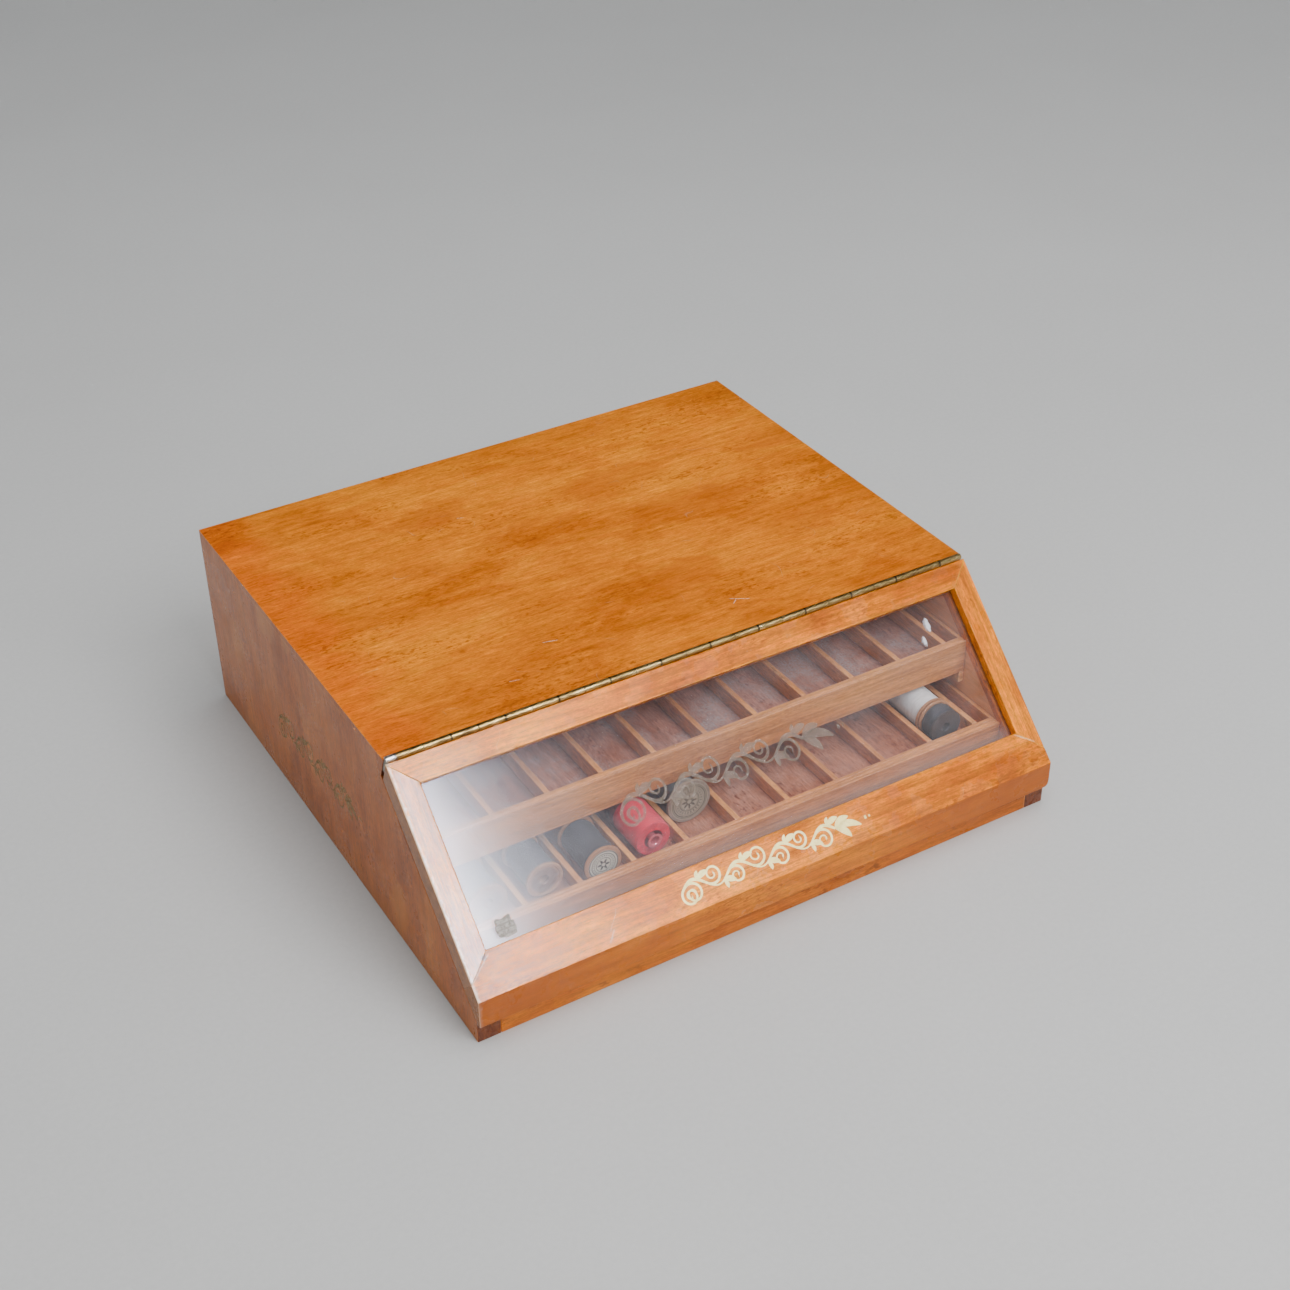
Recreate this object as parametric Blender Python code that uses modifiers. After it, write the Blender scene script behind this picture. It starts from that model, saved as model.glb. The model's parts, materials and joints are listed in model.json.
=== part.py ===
"""Shop-counter display box for sewing-thread spools.

A low veneered case with a flat top, a sloped glazed lid on a full-width piano hinge, and two
stepped trays whose dividers make channels for spools of thread.

All lengths are in metres. The case frame used below has x from the left face, y from the front
face of the case backwards and z up from the rest face. One parent empty moves it so that the
finished object stands on z = 0 with the middle of its bounding box over the origin.
"""

import math

import bmesh
import bpy
from mathutils import Matrix, Vector

# Case.
WIDTH = 0.500
DEPTH = 0.480
HEIGHT = 0.165
BOARD = 0.018
CASE_FRONT = 0.001
GAP = 0.0003
MITRE_GAP = 0.00015
FRONT_BOARD_THICK = 0.012
BOTTOM_THICK = 0.009
BACK_THICK = 0.010
BACK_INSET = 0.002
EDGE_ROUND = 0.0006

# Lid, measured along the slope from its lower front arris and down from its upper face.
ARRIS_Y = -0.0045
ARRIS_Z = 0.0417
SLOPE = math.radians(44.5)
LID_THICK = 0.0195
LID_SEAT_GAP = 0.0004
NOSE_BOTTOM_Z = 0.0185
STILE_WIDE = 0.019
SIGHT_LOW = 0.0315
SIGHT_HIGH = 0.154
NOSE_CORNER_ROUND = 0.006
PANE_THICK = 0.003
PANE_DEPTH = 0.008
PANE_HOLD = 0.006

# Piano hinge.
AXIS_Y = 0.1205
AXIS_Z = 0.1662
HINGE_SPLIT = SLOPE / 2
HINGE_FROM = 0.0006
FIRST_KNUCKLE_END = 0.00765
KNUCKLE_PITCH = 0.02125
KNUCKLES = 24
KNUCKLE_GAP = 0.00015
BARREL_R = 0.0025
BORE_R = 0.00125
PIN_R = 0.0012
BARREL_SIDES = 12
LEAF_OFFSET = 0.00025
LEAF_THICK = 0.0009
LEAF_REACH = 0.014
LEAF_CLEAR = 0.0029
TAB_ROOT = 0.0016
TAB_TOP = 0.0045
TAB_INSET = 0.0002
WOOD_OFFSET = 0.0015
WOOD_RELIEF_R = 0.0034

# Trays.
TRAY_SIDE_GAP = 0.001
END_THICK = 0.0032
TRAY_BOARD = 0.007
FLOOR_THICK = 0.004
DIVIDERS = 10
FIRST_DIVIDER = 0.06435
DIVIDER_PITCH = 0.0444
DIVIDER_THICK = 0.0045
GROOVE_TOP = 0.0017
GROOVE_FOOT = 0.0009
GROOVE_DEEP = 0.0008
LOWER_FRONT = 0.0375
LOWER_FRONT_THICK = 0.0095
LOWER_GROOVES = (0.0031, 0.0064)
LOWER_BASE = 0.0093
LOWER_FLOOR = 0.0495
LOWER_TOP = 0.0615
UPPER_FRONT = 0.0855
UPPER_FRONT_THICK = 0.007
UPPER_GROOVES = (0.0022,)
UPPER_BASE = 0.0825
UPPER_FLOOR = 0.097
UPPER_TOP = 0.1115
LEDGE_WIDE = 0.005
LEDGE_HIGH = 0.010

# Spools: name, middle x, front y, length, front and rear flange radius, thread radius.
SPOOLS = (
    ("spool_01", 0.0415, 0.0580, 0.0400, 0.01500, 0.01500, 0.0132),
    ("spool_02", 0.0865, 0.0584, 0.0400, 0.01475, 0.01475, 0.0132),
    ("spool_03", 0.1300, 0.0512, 0.0420, 0.01510, 0.01510, 0.0137),
    ("spool_04", 0.1745, 0.0532, 0.0400, 0.01580, 0.01580, 0.0148),
    ("spool_05", 0.2175, 0.0757, 0.0420, 0.01850, 0.01850, 0.0134),
    ("spool_10_front", 0.4385, 0.0515, 0.0162, 0.01430, 0.01530, 0.0143),
    ("spool_10_rear", 0.4380, 0.0682, 0.0420, 0.01550, 0.01550, 0.0140),
)

# Core and thread finishes of the spools that aren't bare wood with black thread.
SPOOL_FINISHES = {
    "spool_04": ("spool_plastic", "thread_red"),
    "spool_05": ("spool_pulp", "thread_grey"),
    "spool_10_rear": ("spool_wood", "thread_white"),
}
FLANGE_THICK = 0.0035
FLANGE_TAPER = 0.0014
CORE_R = 0.0075
SPOOL_BORE_R = 0.0035
SPOOL_STEPS = 20

# Directions in the y-z plane.
UP_SLOPE = Vector((0, math.cos(SLOPE), math.sin(SLOPE)))
LID_NORMAL = Vector((0, -math.sin(SLOPE), math.cos(SLOPE)))
ACROSS = Vector((1, 0, 0))
LEAF_DOWN = Vector((0, math.sin(HINGE_SPLIT), -math.cos(HINGE_SPLIT)))
LEAF_BACK = ACROSS.cross(LEAF_DOWN)
AXIS = Vector((0, AXIS_Y, AXIS_Z))
ARRIS = Vector((0, ARRIS_Y, ARRIS_Z))

BOX_MIDDLE = Vector((WIDTH / 2, (ARRIS_Y + DEPTH) / 2, 0))

# Colour, roughness and metallic of each material.
FINISHES = {
    "veneer": ((0.50, 0.19, 0.045), 0.35, 0.0),
    "lid_wood": ((0.56, 0.23, 0.06), 0.35, 0.0),
    "pale_front_wood": ((0.50, 0.19, 0.04), 0.40, 0.0),
    "tray_board_wood": ((0.42, 0.22, 0.10), 0.60, 0.0),
    "tray_floor_wood": ((0.20, 0.10, 0.065), 0.70, 0.0),
    "divider_wood": ((0.40, 0.17, 0.07), 0.60, 0.0),
    "inner_wood": ((0.32, 0.17, 0.08), 0.70, 0.0),
    "old_brass": ((0.40, 0.29, 0.12), 0.40, 1.0),
    "pin_steel": ((0.45, 0.42, 0.36), 0.40, 1.0),
    "pane_glass": ((0.90, 0.93, 0.95), 0.05, 0.0),
    "spool_wood": ((0.50, 0.28, 0.13), 0.60, 0.0),
    "spool_plastic": ((0.80, 0.74, 0.68), 0.15, 0.0),
    "spool_pulp": ((0.44, 0.38, 0.27), 0.60, 0.0),
    "thread_black": ((0.02, 0.022, 0.03), 0.80, 0.0),
    "thread_red": ((0.62, 0.015, 0.035), 0.70, 0.0),
    "thread_grey": ((0.32, 0.29, 0.24), 0.80, 0.0),
    "thread_white": ((0.82, 0.83, 0.84), 0.80, 0.0),
}


def clear_scene():
    for obj in list(bpy.data.objects):
        bpy.data.objects.remove(obj)


def new_collection(name):
    collection = bpy.data.collections.new(name)
    bpy.context.scene.collection.children.link(collection)
    return collection


def new_material(name):
    colour, roughness, metallic = FINISHES[name]
    material = bpy.data.materials.new(name)
    material.use_nodes = True
    shader = material.node_tree.nodes["Principled BSDF"]
    shader.inputs["Base Color"].default_value = (*colour, 1)
    shader.inputs["Roughness"].default_value = roughness
    shader.inputs["Metallic"].default_value = metallic
    material.diffuse_color = (*colour, 1)
    return material


def new_empty(name, location, parent=None):
    empty = bpy.data.objects.new(name, None)
    parts.objects.link(empty)
    empty.empty_display_size = 0.02
    empty.location = location
    empty.parent = parent
    return empty


def mesh_object(name, bm):
    """The bmesh as an object in the parts collection, parented to the case frame."""
    bmesh.ops.recalc_face_normals(bm, faces=bm.faces)
    mesh = bpy.data.meshes.new(name)
    bm.to_mesh(mesh)
    bm.free()
    obj = bpy.data.objects.new(name, mesh)
    parts.objects.link(obj)
    obj.parent = case_frame
    return obj


def finish_with(obj, material_name):
    obj.data.materials.clear()
    obj.data.materials.append(materials[material_name])
    return obj


def as_cutter(obj):
    """Moves a helper solid out of the parts and hides it."""
    parts.objects.unlink(obj)
    cutters.objects.link(obj)
    obj.hide_render = True
    obj.display_type = "WIRE"
    return obj


def cut_with(obj, cutter, operation="DIFFERENCE"):
    modifier = obj.modifiers.new(cutter.name, "BOOLEAN")
    modifier.operation = operation
    modifier.solver = "EXACT"
    modifier.object = cutter


def round_edges(obj, width=EDGE_ROUND, segments=2):
    modifier = obj.modifiers.new("rounded edges", "BEVEL")
    modifier.width = width
    modifier.segments = segments
    modifier.limit_method = "ANGLE"
    modifier.angle_limit = math.radians(40)


def box(name, low, high):
    """A block between two corners, with its origin at its middle."""
    low = Vector(low)
    high = Vector(high)
    bm = bmesh.new()
    bmesh.ops.create_cube(bm, size=1, matrix=Matrix.Diagonal((*(high - low), 1)))
    obj = mesh_object(name, bm)
    obj.location = (low + high) / 2
    return obj


def outline_mesh(points, thick):
    """A flat outline given thickness along its local z, as a bmesh."""
    curve = bpy.data.curves.new("outline", "CURVE")
    curve.dimensions = "2D"
    curve.fill_mode = "BOTH"
    curve.extrude = thick / 2
    spline = curve.splines.new("POLY")
    spline.points.add(len(points) - 1)
    for spline_point, (u, v) in zip(spline.points, points):
        spline_point.co = (u, v, 0, 1)
    spline.use_cyclic_u = True
    holder = bpy.data.objects.new("outline", curve)
    bpy.context.scene.collection.objects.link(holder)
    bpy.context.view_layer.update()
    graph = bpy.context.evaluated_depsgraph_get()
    mesh = bpy.data.meshes.new_from_object(holder.evaluated_get(graph))
    bpy.data.objects.remove(holder)
    bm = bmesh.new()
    bm.from_mesh(mesh)
    bpy.data.meshes.remove(mesh)
    bmesh.ops.remove_doubles(bm, verts=bm.verts, dist=0.00001)
    return bm


def side_profile(points, x_low, x_high):
    """An outline in the y-z plane, run from x_low to x_high, as a bmesh in the case frame."""
    bm = outline_mesh(points, x_high - x_low)
    bmesh.ops.dissolve_limit(bm, angle_limit=0.001, verts=bm.verts, edges=bm.edges)
    turn = Matrix(((0, 0, 1, 0), (1, 0, 0, 0), (0, 1, 0, 0), (0, 0, 0, 1)))
    middle = Matrix.Translation(((x_low + x_high) / 2, 0, 0))
    bmesh.ops.transform(bm, matrix=middle @ turn, verts=bm.verts)
    return bm


def trim(bm, point, outward):
    """Cuts away what lies beyond a plane and closes the cut."""
    geometry = list(bm.verts) + list(bm.edges) + list(bm.faces)
    cut = bmesh.ops.bisect_plane(
        bm, geom=geometry, plane_co=point, plane_no=outward, clear_outer=True, dist=0.000001
    )
    edges = [item for item in cut["geom_cut"] if isinstance(item, bmesh.types.BMEdge)]
    bmesh.ops.edgenet_fill(bm, edges=edges)


def lid_point(along, depth):
    """(y, z) of a place on the lid, from its distance up the slope and its depth below the face."""
    point = ARRIS + along * UP_SLOPE - depth * LID_NORMAL
    return point.y, point.z


def leaf_plane_hit(offset, depth=None, height=None):
    """(y, z) where a plane beside the hinge's middle plane meets a lid depth or a height."""
    start = AXIS + offset * LEAF_BACK
    if height is not None:
        reach = (height - start.z) / LEAF_DOWN.z
    else:
        start_depth = (ARRIS - start).dot(LID_NORMAL)
        reach = (depth - start_depth) / -LEAF_DOWN.dot(LID_NORMAL)
    point = start + reach * LEAF_DOWN
    return point.y, point.z


def side_sign(side):
    return 1 if side == "left" else -1


def side_x(side, x):
    """x of a place measured inwards from the left or the right face."""
    return x if side == "left" else WIDTH - x


def trim_case_mitre(bm, side, keep_below):
    """The 45 degree joint between a side panel and the top panel."""
    sign = side_sign(side)
    outward = Vector((sign, 0, 1)).normalized()
    if not keep_below:
        outward = -outward
    corner = Vector((side_x(side, 0), 0, HEIGHT))
    trim(bm, corner - MITRE_GAP * outward, outward)


def trim_lid_mitre(bm, side, along, direction, keep_low):
    """A 45 degree joint between two lid members, across the plane of the lid.

    It starts at the outer edge at the given distance up the slope and runs inwards, up the
    slope for direction 1 and down it for direction -1.
    """
    sign = side_sign(side)
    outward = (UP_SLOPE - direction * sign * ACROSS).normalized()
    if not keep_low:
        outward = -outward
    start = ARRIS + along * UP_SLOPE
    start.x = side_x(side, 0)
    trim(bm, start - MITRE_GAP * outward, outward)


def on_hinge(obj):
    """Gives a lid piece its origin on the hinge axis and hangs it on the hinge empty."""
    bpy.context.view_layer.update()
    offset = AXIS - obj.location
    obj.data.transform(Matrix.Translation(-offset))
    obj.location = (0, 0, 0)
    obj.parent = lid_hinge
    return obj


def rod(name, radius, x_low, x_high, sides):
    """A round bar along x, centred on the hinge axis."""
    turn = Matrix.Rotation(math.pi / 2, 4, "Y")
    bm = bmesh.new()
    bmesh.ops.create_cone(
        bm, cap_ends=True, segments=sides, radius1=radius, radius2=radius,
        depth=x_high - x_low, matrix=turn,
    )
    obj = mesh_object(name, bm)
    obj.location = ((x_low + x_high) / 2, AXIS_Y, AXIS_Z)
    return obj


def make_side_panel(side):
    slope_depth = LID_THICK + LID_SEAT_GAP
    top_front = leaf_plane_hit(WOOD_OFFSET, height=HEIGHT)
    under_hinge = leaf_plane_hit(WOOD_OFFSET, depth=slope_depth)
    foot_along = (CASE_FRONT - ARRIS_Y - slope_depth * math.sin(SLOPE)) / math.cos(SLOPE)
    slope_foot = lid_point(foot_along, slope_depth)
    outline = [
        (CASE_FRONT, 0), (DEPTH, 0), (DEPTH, HEIGHT), top_front, under_hinge, slope_foot
    ]
    ends = sorted((side_x(side, 0), side_x(side, BOARD)))
    bm = side_profile(outline, *ends)
    trim_case_mitre(bm, side, keep_below=True)
    panel = mesh_object(side + "_side_panel", bm)
    cut_with(panel, hinge_relief)
    finish_with(panel, "veneer")


def make_top_panel():
    under = HEIGHT - BOARD
    outline = [
        leaf_plane_hit(WOOD_OFFSET, height=under), (DEPTH, under), (DEPTH, HEIGHT),
        leaf_plane_hit(WOOD_OFFSET, height=HEIGHT),
    ]
    bm = side_profile(outline, 0, WIDTH)
    for side in ("left", "right"):
        trim_case_mitre(bm, side, keep_below=False)
    panel = mesh_object("top_panel", bm)
    cut_with(panel, hinge_relief)
    finish_with(panel, "veneer")


def make_front_board():
    slope_depth = LID_THICK + LID_SEAT_GAP
    back = CASE_FRONT + FRONT_BOARD_THICK
    tops = []
    for y in (back, CASE_FRONT):
        along = (y - ARRIS_Y - slope_depth * math.sin(SLOPE)) / math.cos(SLOPE)
        tops.append(lid_point(along, slope_depth))
    outline = [(CASE_FRONT, 0), (back, 0), *tops]
    bm = side_profile(outline, BOARD + GAP, WIDTH - BOARD - GAP)
    finish_with(mesh_object("front_board", bm), "pale_front_wood")


def make_bottom_and_back():
    inner_low = BOARD + GAP
    inner_high = WIDTH - BOARD - GAP
    front = CASE_FRONT + FRONT_BOARD_THICK + GAP
    back = DEPTH - BACK_INSET
    bottom = box("bottom_panel", (inner_low, front, 0), (inner_high, back, BOTTOM_THICK))
    finish_with(bottom, "inner_wood")
    low = (inner_low, back - BACK_THICK, BOTTOM_THICK + GAP)
    high = (inner_high, back, HEIGHT - BOARD - GAP)
    finish_with(box("back_panel", low, high), "inner_wood")


def make_ledges():
    """Strips on the side panels that carry the upper tray."""
    top = UPPER_BASE - GAP
    front = UPPER_FRONT + GAP
    back = DEPTH - BACK_INSET - BACK_THICK - GAP
    for side in ("left", "right"):
        ends = sorted((side_x(side, BOARD + GAP), side_x(side, BOARD + GAP + LEDGE_WIDE)))
        low = (ends[0], front, top - LEDGE_HIGH)
        high = (ends[1], back, top)
        ledge = box("upper_ledge_" + side, low, high)
        round_edges(ledge)
        finish_with(ledge, "inner_wood")


def make_lid_rails():
    nose_along = (NOSE_BOTTOM_Z - ARRIS_Z + LID_THICK * math.cos(SLOPE)) / math.sin(SLOPE)
    bottom_outline = [
        (ARRIS_Y, ARRIS_Z), (ARRIS_Y, NOSE_BOTTOM_Z), lid_point(nose_along, LID_THICK),
        lid_point(SIGHT_LOW, LID_THICK), lid_point(SIGHT_LOW, 0),
    ]
    bottom = side_profile(bottom_outline, 0, WIDTH)
    round_nose_corner(bottom)
    top_outline = [
        lid_point(SIGHT_HIGH, LID_THICK), leaf_plane_hit(-WOOD_OFFSET, depth=LID_THICK),
        leaf_plane_hit(-WOOD_OFFSET, depth=0), lid_point(SIGHT_HIGH, 0),
    ]
    top = side_profile(top_outline, 0, WIDTH)
    for side in ("left", "right"):
        trim_lid_mitre(bottom, side, SIGHT_LOW - STILE_WIDE, 1, keep_low=True)
        trim_lid_mitre(top, side, SIGHT_HIGH + STILE_WIDE, -1, keep_low=False)
    for name, bm in (("lid_bottom_rail", bottom), ("lid_top_rail", top)):
        rail = on_hinge(mesh_object(name, bm))
        cut_with(rail, pane_groove)
        if name == "lid_top_rail":
            cut_with(rail, hinge_relief)
        finish_with(rail, "lid_wood")


def round_nose_corner(bm):
    """Rounds the lower right corner of the nose, seen from the front."""
    edges = [
        edge for edge in bm.edges
        if all(abs(vert.co.x - WIDTH) < 0.0001 for vert in edge.verts)
        and all(abs(vert.co.z - NOSE_BOTTOM_Z) < 0.0001 for vert in edge.verts)
    ]
    bmesh.ops.bevel(
        bm, geom=edges, offset=NOSE_CORNER_ROUND, segments=5, profile=0.5, affect="EDGES"
    )


def make_lid_stile(side):
    outline = [
        lid_point(0, LID_THICK), leaf_plane_hit(-WOOD_OFFSET, depth=LID_THICK),
        leaf_plane_hit(-WOOD_OFFSET, depth=0), lid_point(0, 0),
    ]
    ends = sorted((side_x(side, 0), side_x(side, STILE_WIDE)))
    bm = side_profile(outline, *ends)
    trim_lid_mitre(bm, side, SIGHT_LOW - STILE_WIDE, 1, keep_low=False)
    trim_lid_mitre(bm, side, SIGHT_HIGH + STILE_WIDE, -1, keep_low=True)
    stile = on_hinge(mesh_object("lid_" + side + "_stile", bm))
    cut_with(stile, pane_groove)
    cut_with(stile, hinge_relief)
    finish_with(stile, "lid_wood")


def lid_slab(name, margin, low_depth, high_depth):
    """A flat sheet in the lid that reaches a margin beyond the sight opening."""
    outline = [
        lid_point(SIGHT_LOW - margin, high_depth), lid_point(SIGHT_HIGH + margin, high_depth),
        lid_point(SIGHT_HIGH + margin, low_depth), lid_point(SIGHT_LOW - margin, low_depth),
    ]
    bm = side_profile(outline, STILE_WIDE - margin, WIDTH - STILE_WIDE + margin)
    return mesh_object(name, bm)


def make_pane():
    pane = on_hinge(lid_slab("lid_pane", PANE_HOLD, PANE_DEPTH, PANE_DEPTH + PANE_THICK))
    finish_with(pane, "pane_glass")


def add_block(bm, across, down, offset):
    """A piece of hinge sheet, from its extent along the pin, its extent down the leaf and its side."""
    size = (across[1] - across[0], down[1] - down[0], LEAF_THICK, 1)
    middle = (sum(across) / 2, sum(down) / 2, offset)
    matrix = Matrix.Translation(middle) @ Matrix.Diagonal(size)
    bmesh.ops.create_cube(bm, size=1, matrix=matrix)


def knuckle_spans(first):
    """(low x, high x) of every second knuckle."""
    spans = []
    for index in range(first, KNUCKLES, 2):
        high = FIRST_KNUCKLE_END + index * KNUCKLE_PITCH
        low = HINGE_FROM if index == 0 else high - KNUCKLE_PITCH
        spans.append((low + KNUCKLE_GAP, high - KNUCKLE_GAP))
    return spans


def make_hinge_leaf(name, first, offset):
    """A leaf beside the hinge's middle plane, one solid with its own knuckles."""
    hinge_to = FIRST_KNUCKLE_END + (KNUCKLES - 1) * KNUCKLE_PITCH
    turn = Matrix.Rotation(math.pi / 2, 4, "Y")
    plate = bmesh.new()
    add_block(plate, (HINGE_FROM, hinge_to), (LEAF_CLEAR, LEAF_REACH), offset)
    leaf = mesh_object(name, plate)
    leaf.location = AXIS
    leaf.rotation_euler = Matrix((ACROSS, LEAF_DOWN, LEAF_BACK)).transposed().to_euler()
    tabs = bmesh.new()
    knuckles = bmesh.new()
    for low, high in knuckle_spans(first):
        add_block(tabs, (low + TAB_INSET, high - TAB_INSET), (TAB_ROOT, TAB_TOP), offset)
        place = Matrix.Translation(((low + high) / 2, 0, 0)) @ turn
        bmesh.ops.create_cone(
            knuckles, cap_ends=True, segments=BARREL_SIDES, radius1=BARREL_R,
            radius2=BARREL_R, depth=high - low, matrix=place,
        )
    barrel = mesh_object(name + "_knuckles", knuckles)
    barrel.location = AXIS
    cut_with(barrel, hinge_bore)
    roots = mesh_object(name + "_tabs", tabs)
    roots.location = leaf.location
    roots.rotation_euler = leaf.rotation_euler
    cut_with(leaf, as_cutter(roots), "UNION")
    cut_with(leaf, as_cutter(barrel), "UNION")
    finish_with(leaf, "old_brass")
    return leaf


def make_hinge():
    middle = LEAF_OFFSET + LEAF_THICK / 2
    lid_leaf = make_hinge_leaf("hinge_lid_leaf", 0, -middle)
    lid_leaf.parent = lid_hinge
    lid_leaf.location = (0, 0, 0)
    make_hinge_leaf("hinge_cabinet_leaf", 1, middle)
    hinge_to = FIRST_KNUCKLE_END + (KNUCKLES - 1) * KNUCKLE_PITCH
    pin = rod("hinge_pin", PIN_R, HINGE_FROM, hinge_to, BARREL_SIDES)
    finish_with(pin, "pin_steel")


def tray_front_outline(front, thick, grooves, base, top):
    """A board on edge with shallow grooves run along its top."""
    points = [(front, base), (front + thick, base), (front + thick, top)]
    for groove in sorted(grooves, reverse=True):
        middle = front + groove
        points += [
            (middle + GROOVE_TOP / 2, top), (middle + GROOVE_FOOT / 2, top - GROOVE_DEEP),
            (middle - GROOVE_FOOT / 2, top - GROOVE_DEEP), (middle - GROOVE_TOP / 2, top),
        ]
    return points + [(front, top)]


def make_tray(prefix, front, thick, grooves, base, floor, top):
    left = BOARD + TRAY_SIDE_GAP
    right = WIDTH - left
    rear_back = DEPTH - BACK_INSET - BACK_THICK - GAP
    rear_front = rear_back - TRAY_BOARD
    inner_left = left + END_THICK + GAP
    inner_right = right - END_THICK - GAP
    inner_front = front + thick + GAP
    inner_back = rear_front - GAP
    outline = tray_front_outline(front, thick, grooves, base, top)
    board = mesh_object(prefix + "_tray_front", side_profile(outline, left, right))
    finish_with(board, "tray_board_wood")
    rear = box(prefix + "_tray_rear", (left, rear_front, base), (right, rear_back, top))
    finish_with(rear, "tray_board_wood")
    for side in ("left", "right"):
        ends = sorted((side_x(side, left), side_x(side, left + END_THICK)))
        low = (ends[0], inner_front, base)
        high = (ends[1], inner_back, top)
        finish_with(box(prefix + "_tray_" + side + "_end", low, high), "tray_board_wood")
    low = (inner_left, inner_front, floor - FLOOR_THICK)
    high = (inner_right, inner_back, floor)
    finish_with(box(prefix + "_tray_floor", low, high), "tray_floor_wood")
    for index in range(DIVIDERS):
        middle = FIRST_DIVIDER + index * DIVIDER_PITCH
        low = (middle - DIVIDER_THICK / 2, inner_front, floor + GAP)
        high = (middle + DIVIDER_THICK / 2, inner_back, top)
        divider = box(f"{prefix}_divider_{index + 1:02d}", low, high)
        round_edges(divider)
        finish_with(divider, "divider_wood")


def turned(name, profile):
    """A round piece from a closed profile of (radius, height) pairs around its own z."""
    bm = bmesh.new()
    verts = [bm.verts.new((radius, 0, height)) for radius, height in profile]
    for start, end in zip(verts, verts[1:] + verts[:1]):
        bm.edges.new((start, end))
    mesh = bpy.data.meshes.new(name)
    bm.to_mesh(mesh)
    bm.free()
    obj = bpy.data.objects.new(name, mesh)
    parts.objects.link(obj)
    obj.parent = case_frame
    screw = obj.modifiers.new("turn", "SCREW")
    screw.steps = SPOOL_STEPS
    screw.render_steps = SPOOL_STEPS
    screw.use_merge_vertices = True
    screw.merge_threshold = 0.00001
    screw.use_smooth_shade = True
    return obj


def make_spool(name, x, front, length, front_r, rear_r, thread_r, core_finish, thread_finish):
    """A turned core lying along y on the floor of the lower tray, and the thread wound on it.

    Around the core's own z, height 0 is the front face. Each flange thins towards its rim.
    """
    inner_low = FLANGE_THICK
    inner_high = length - FLANGE_THICK
    rim = FLANGE_THICK - FLANGE_TAPER
    core = turned(name + "_core", [
        (rear_r, length), (rear_r, length - rim), (CORE_R, inner_high), (CORE_R, inner_low),
        (front_r, rim), (front_r, 0), (SPOOL_BORE_R, 0), (SPOOL_BORE_R, length),
    ])
    rise = thread_r - CORE_R
    front_out = inner_low + GAP - FLANGE_TAPER * rise / (front_r - CORE_R)
    rear_out = inner_high - GAP + FLANGE_TAPER * rise / (rear_r - CORE_R)
    inner_r = CORE_R + GAP
    thread = turned(name + "_thread", [
        (thread_r, rear_out), (thread_r, front_out), (inner_r, inner_low + GAP),
        (inner_r, inner_high - GAP),
    ])
    finish_with(core, core_finish)
    finish_with(thread, thread_finish)
    for piece in (core, thread):
        piece.location = (x, front, LOWER_FLOOR + GAP + rear_r)
        piece.rotation_euler = (-math.pi / 2, 0, 0)


clear_scene()
parts = new_collection("bobbin_box")
cutters = new_collection("cutters")
materials = {name: new_material(name) for name in FINISHES}
case_frame = new_empty("case_frame", -BOX_MIDDLE)
lid_hinge = new_empty("lid_hinge", AXIS, case_frame)

hinge_relief = as_cutter(rod("hinge_relief", WOOD_RELIEF_R, -0.01, WIDTH + 0.01, 16))
hinge_bore = as_cutter(rod("hinge_bore", BORE_R, -0.01, WIDTH + 0.01, BARREL_SIDES))
pane_groove = as_cutter(
    lid_slab("pane_groove", PANE_HOLD + GAP, PANE_DEPTH - GAP, PANE_DEPTH + PANE_THICK + GAP)
)

make_side_panel("left")
make_side_panel("right")
make_top_panel()
make_front_board()
make_bottom_and_back()
make_ledges()
make_lid_rails()
make_lid_stile("left")
make_lid_stile("right")
make_pane()
make_hinge()
make_tray(
    "lower", LOWER_FRONT, LOWER_FRONT_THICK, LOWER_GROOVES, LOWER_BASE, LOWER_FLOOR, LOWER_TOP
)
make_tray(
    "upper", UPPER_FRONT, UPPER_FRONT_THICK, UPPER_GROOVES, UPPER_BASE, UPPER_FLOOR, UPPER_TOP
)

for spool_name, *sizes in SPOOLS:
    finishes = SPOOL_FINISHES.get(spool_name, ("spool_wood", "thread_black"))
    make_spool(spool_name, *sizes, *finishes)
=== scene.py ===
import json
import math
import random

import bmesh
import bpy
from mathutils import Matrix, Vector

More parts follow.
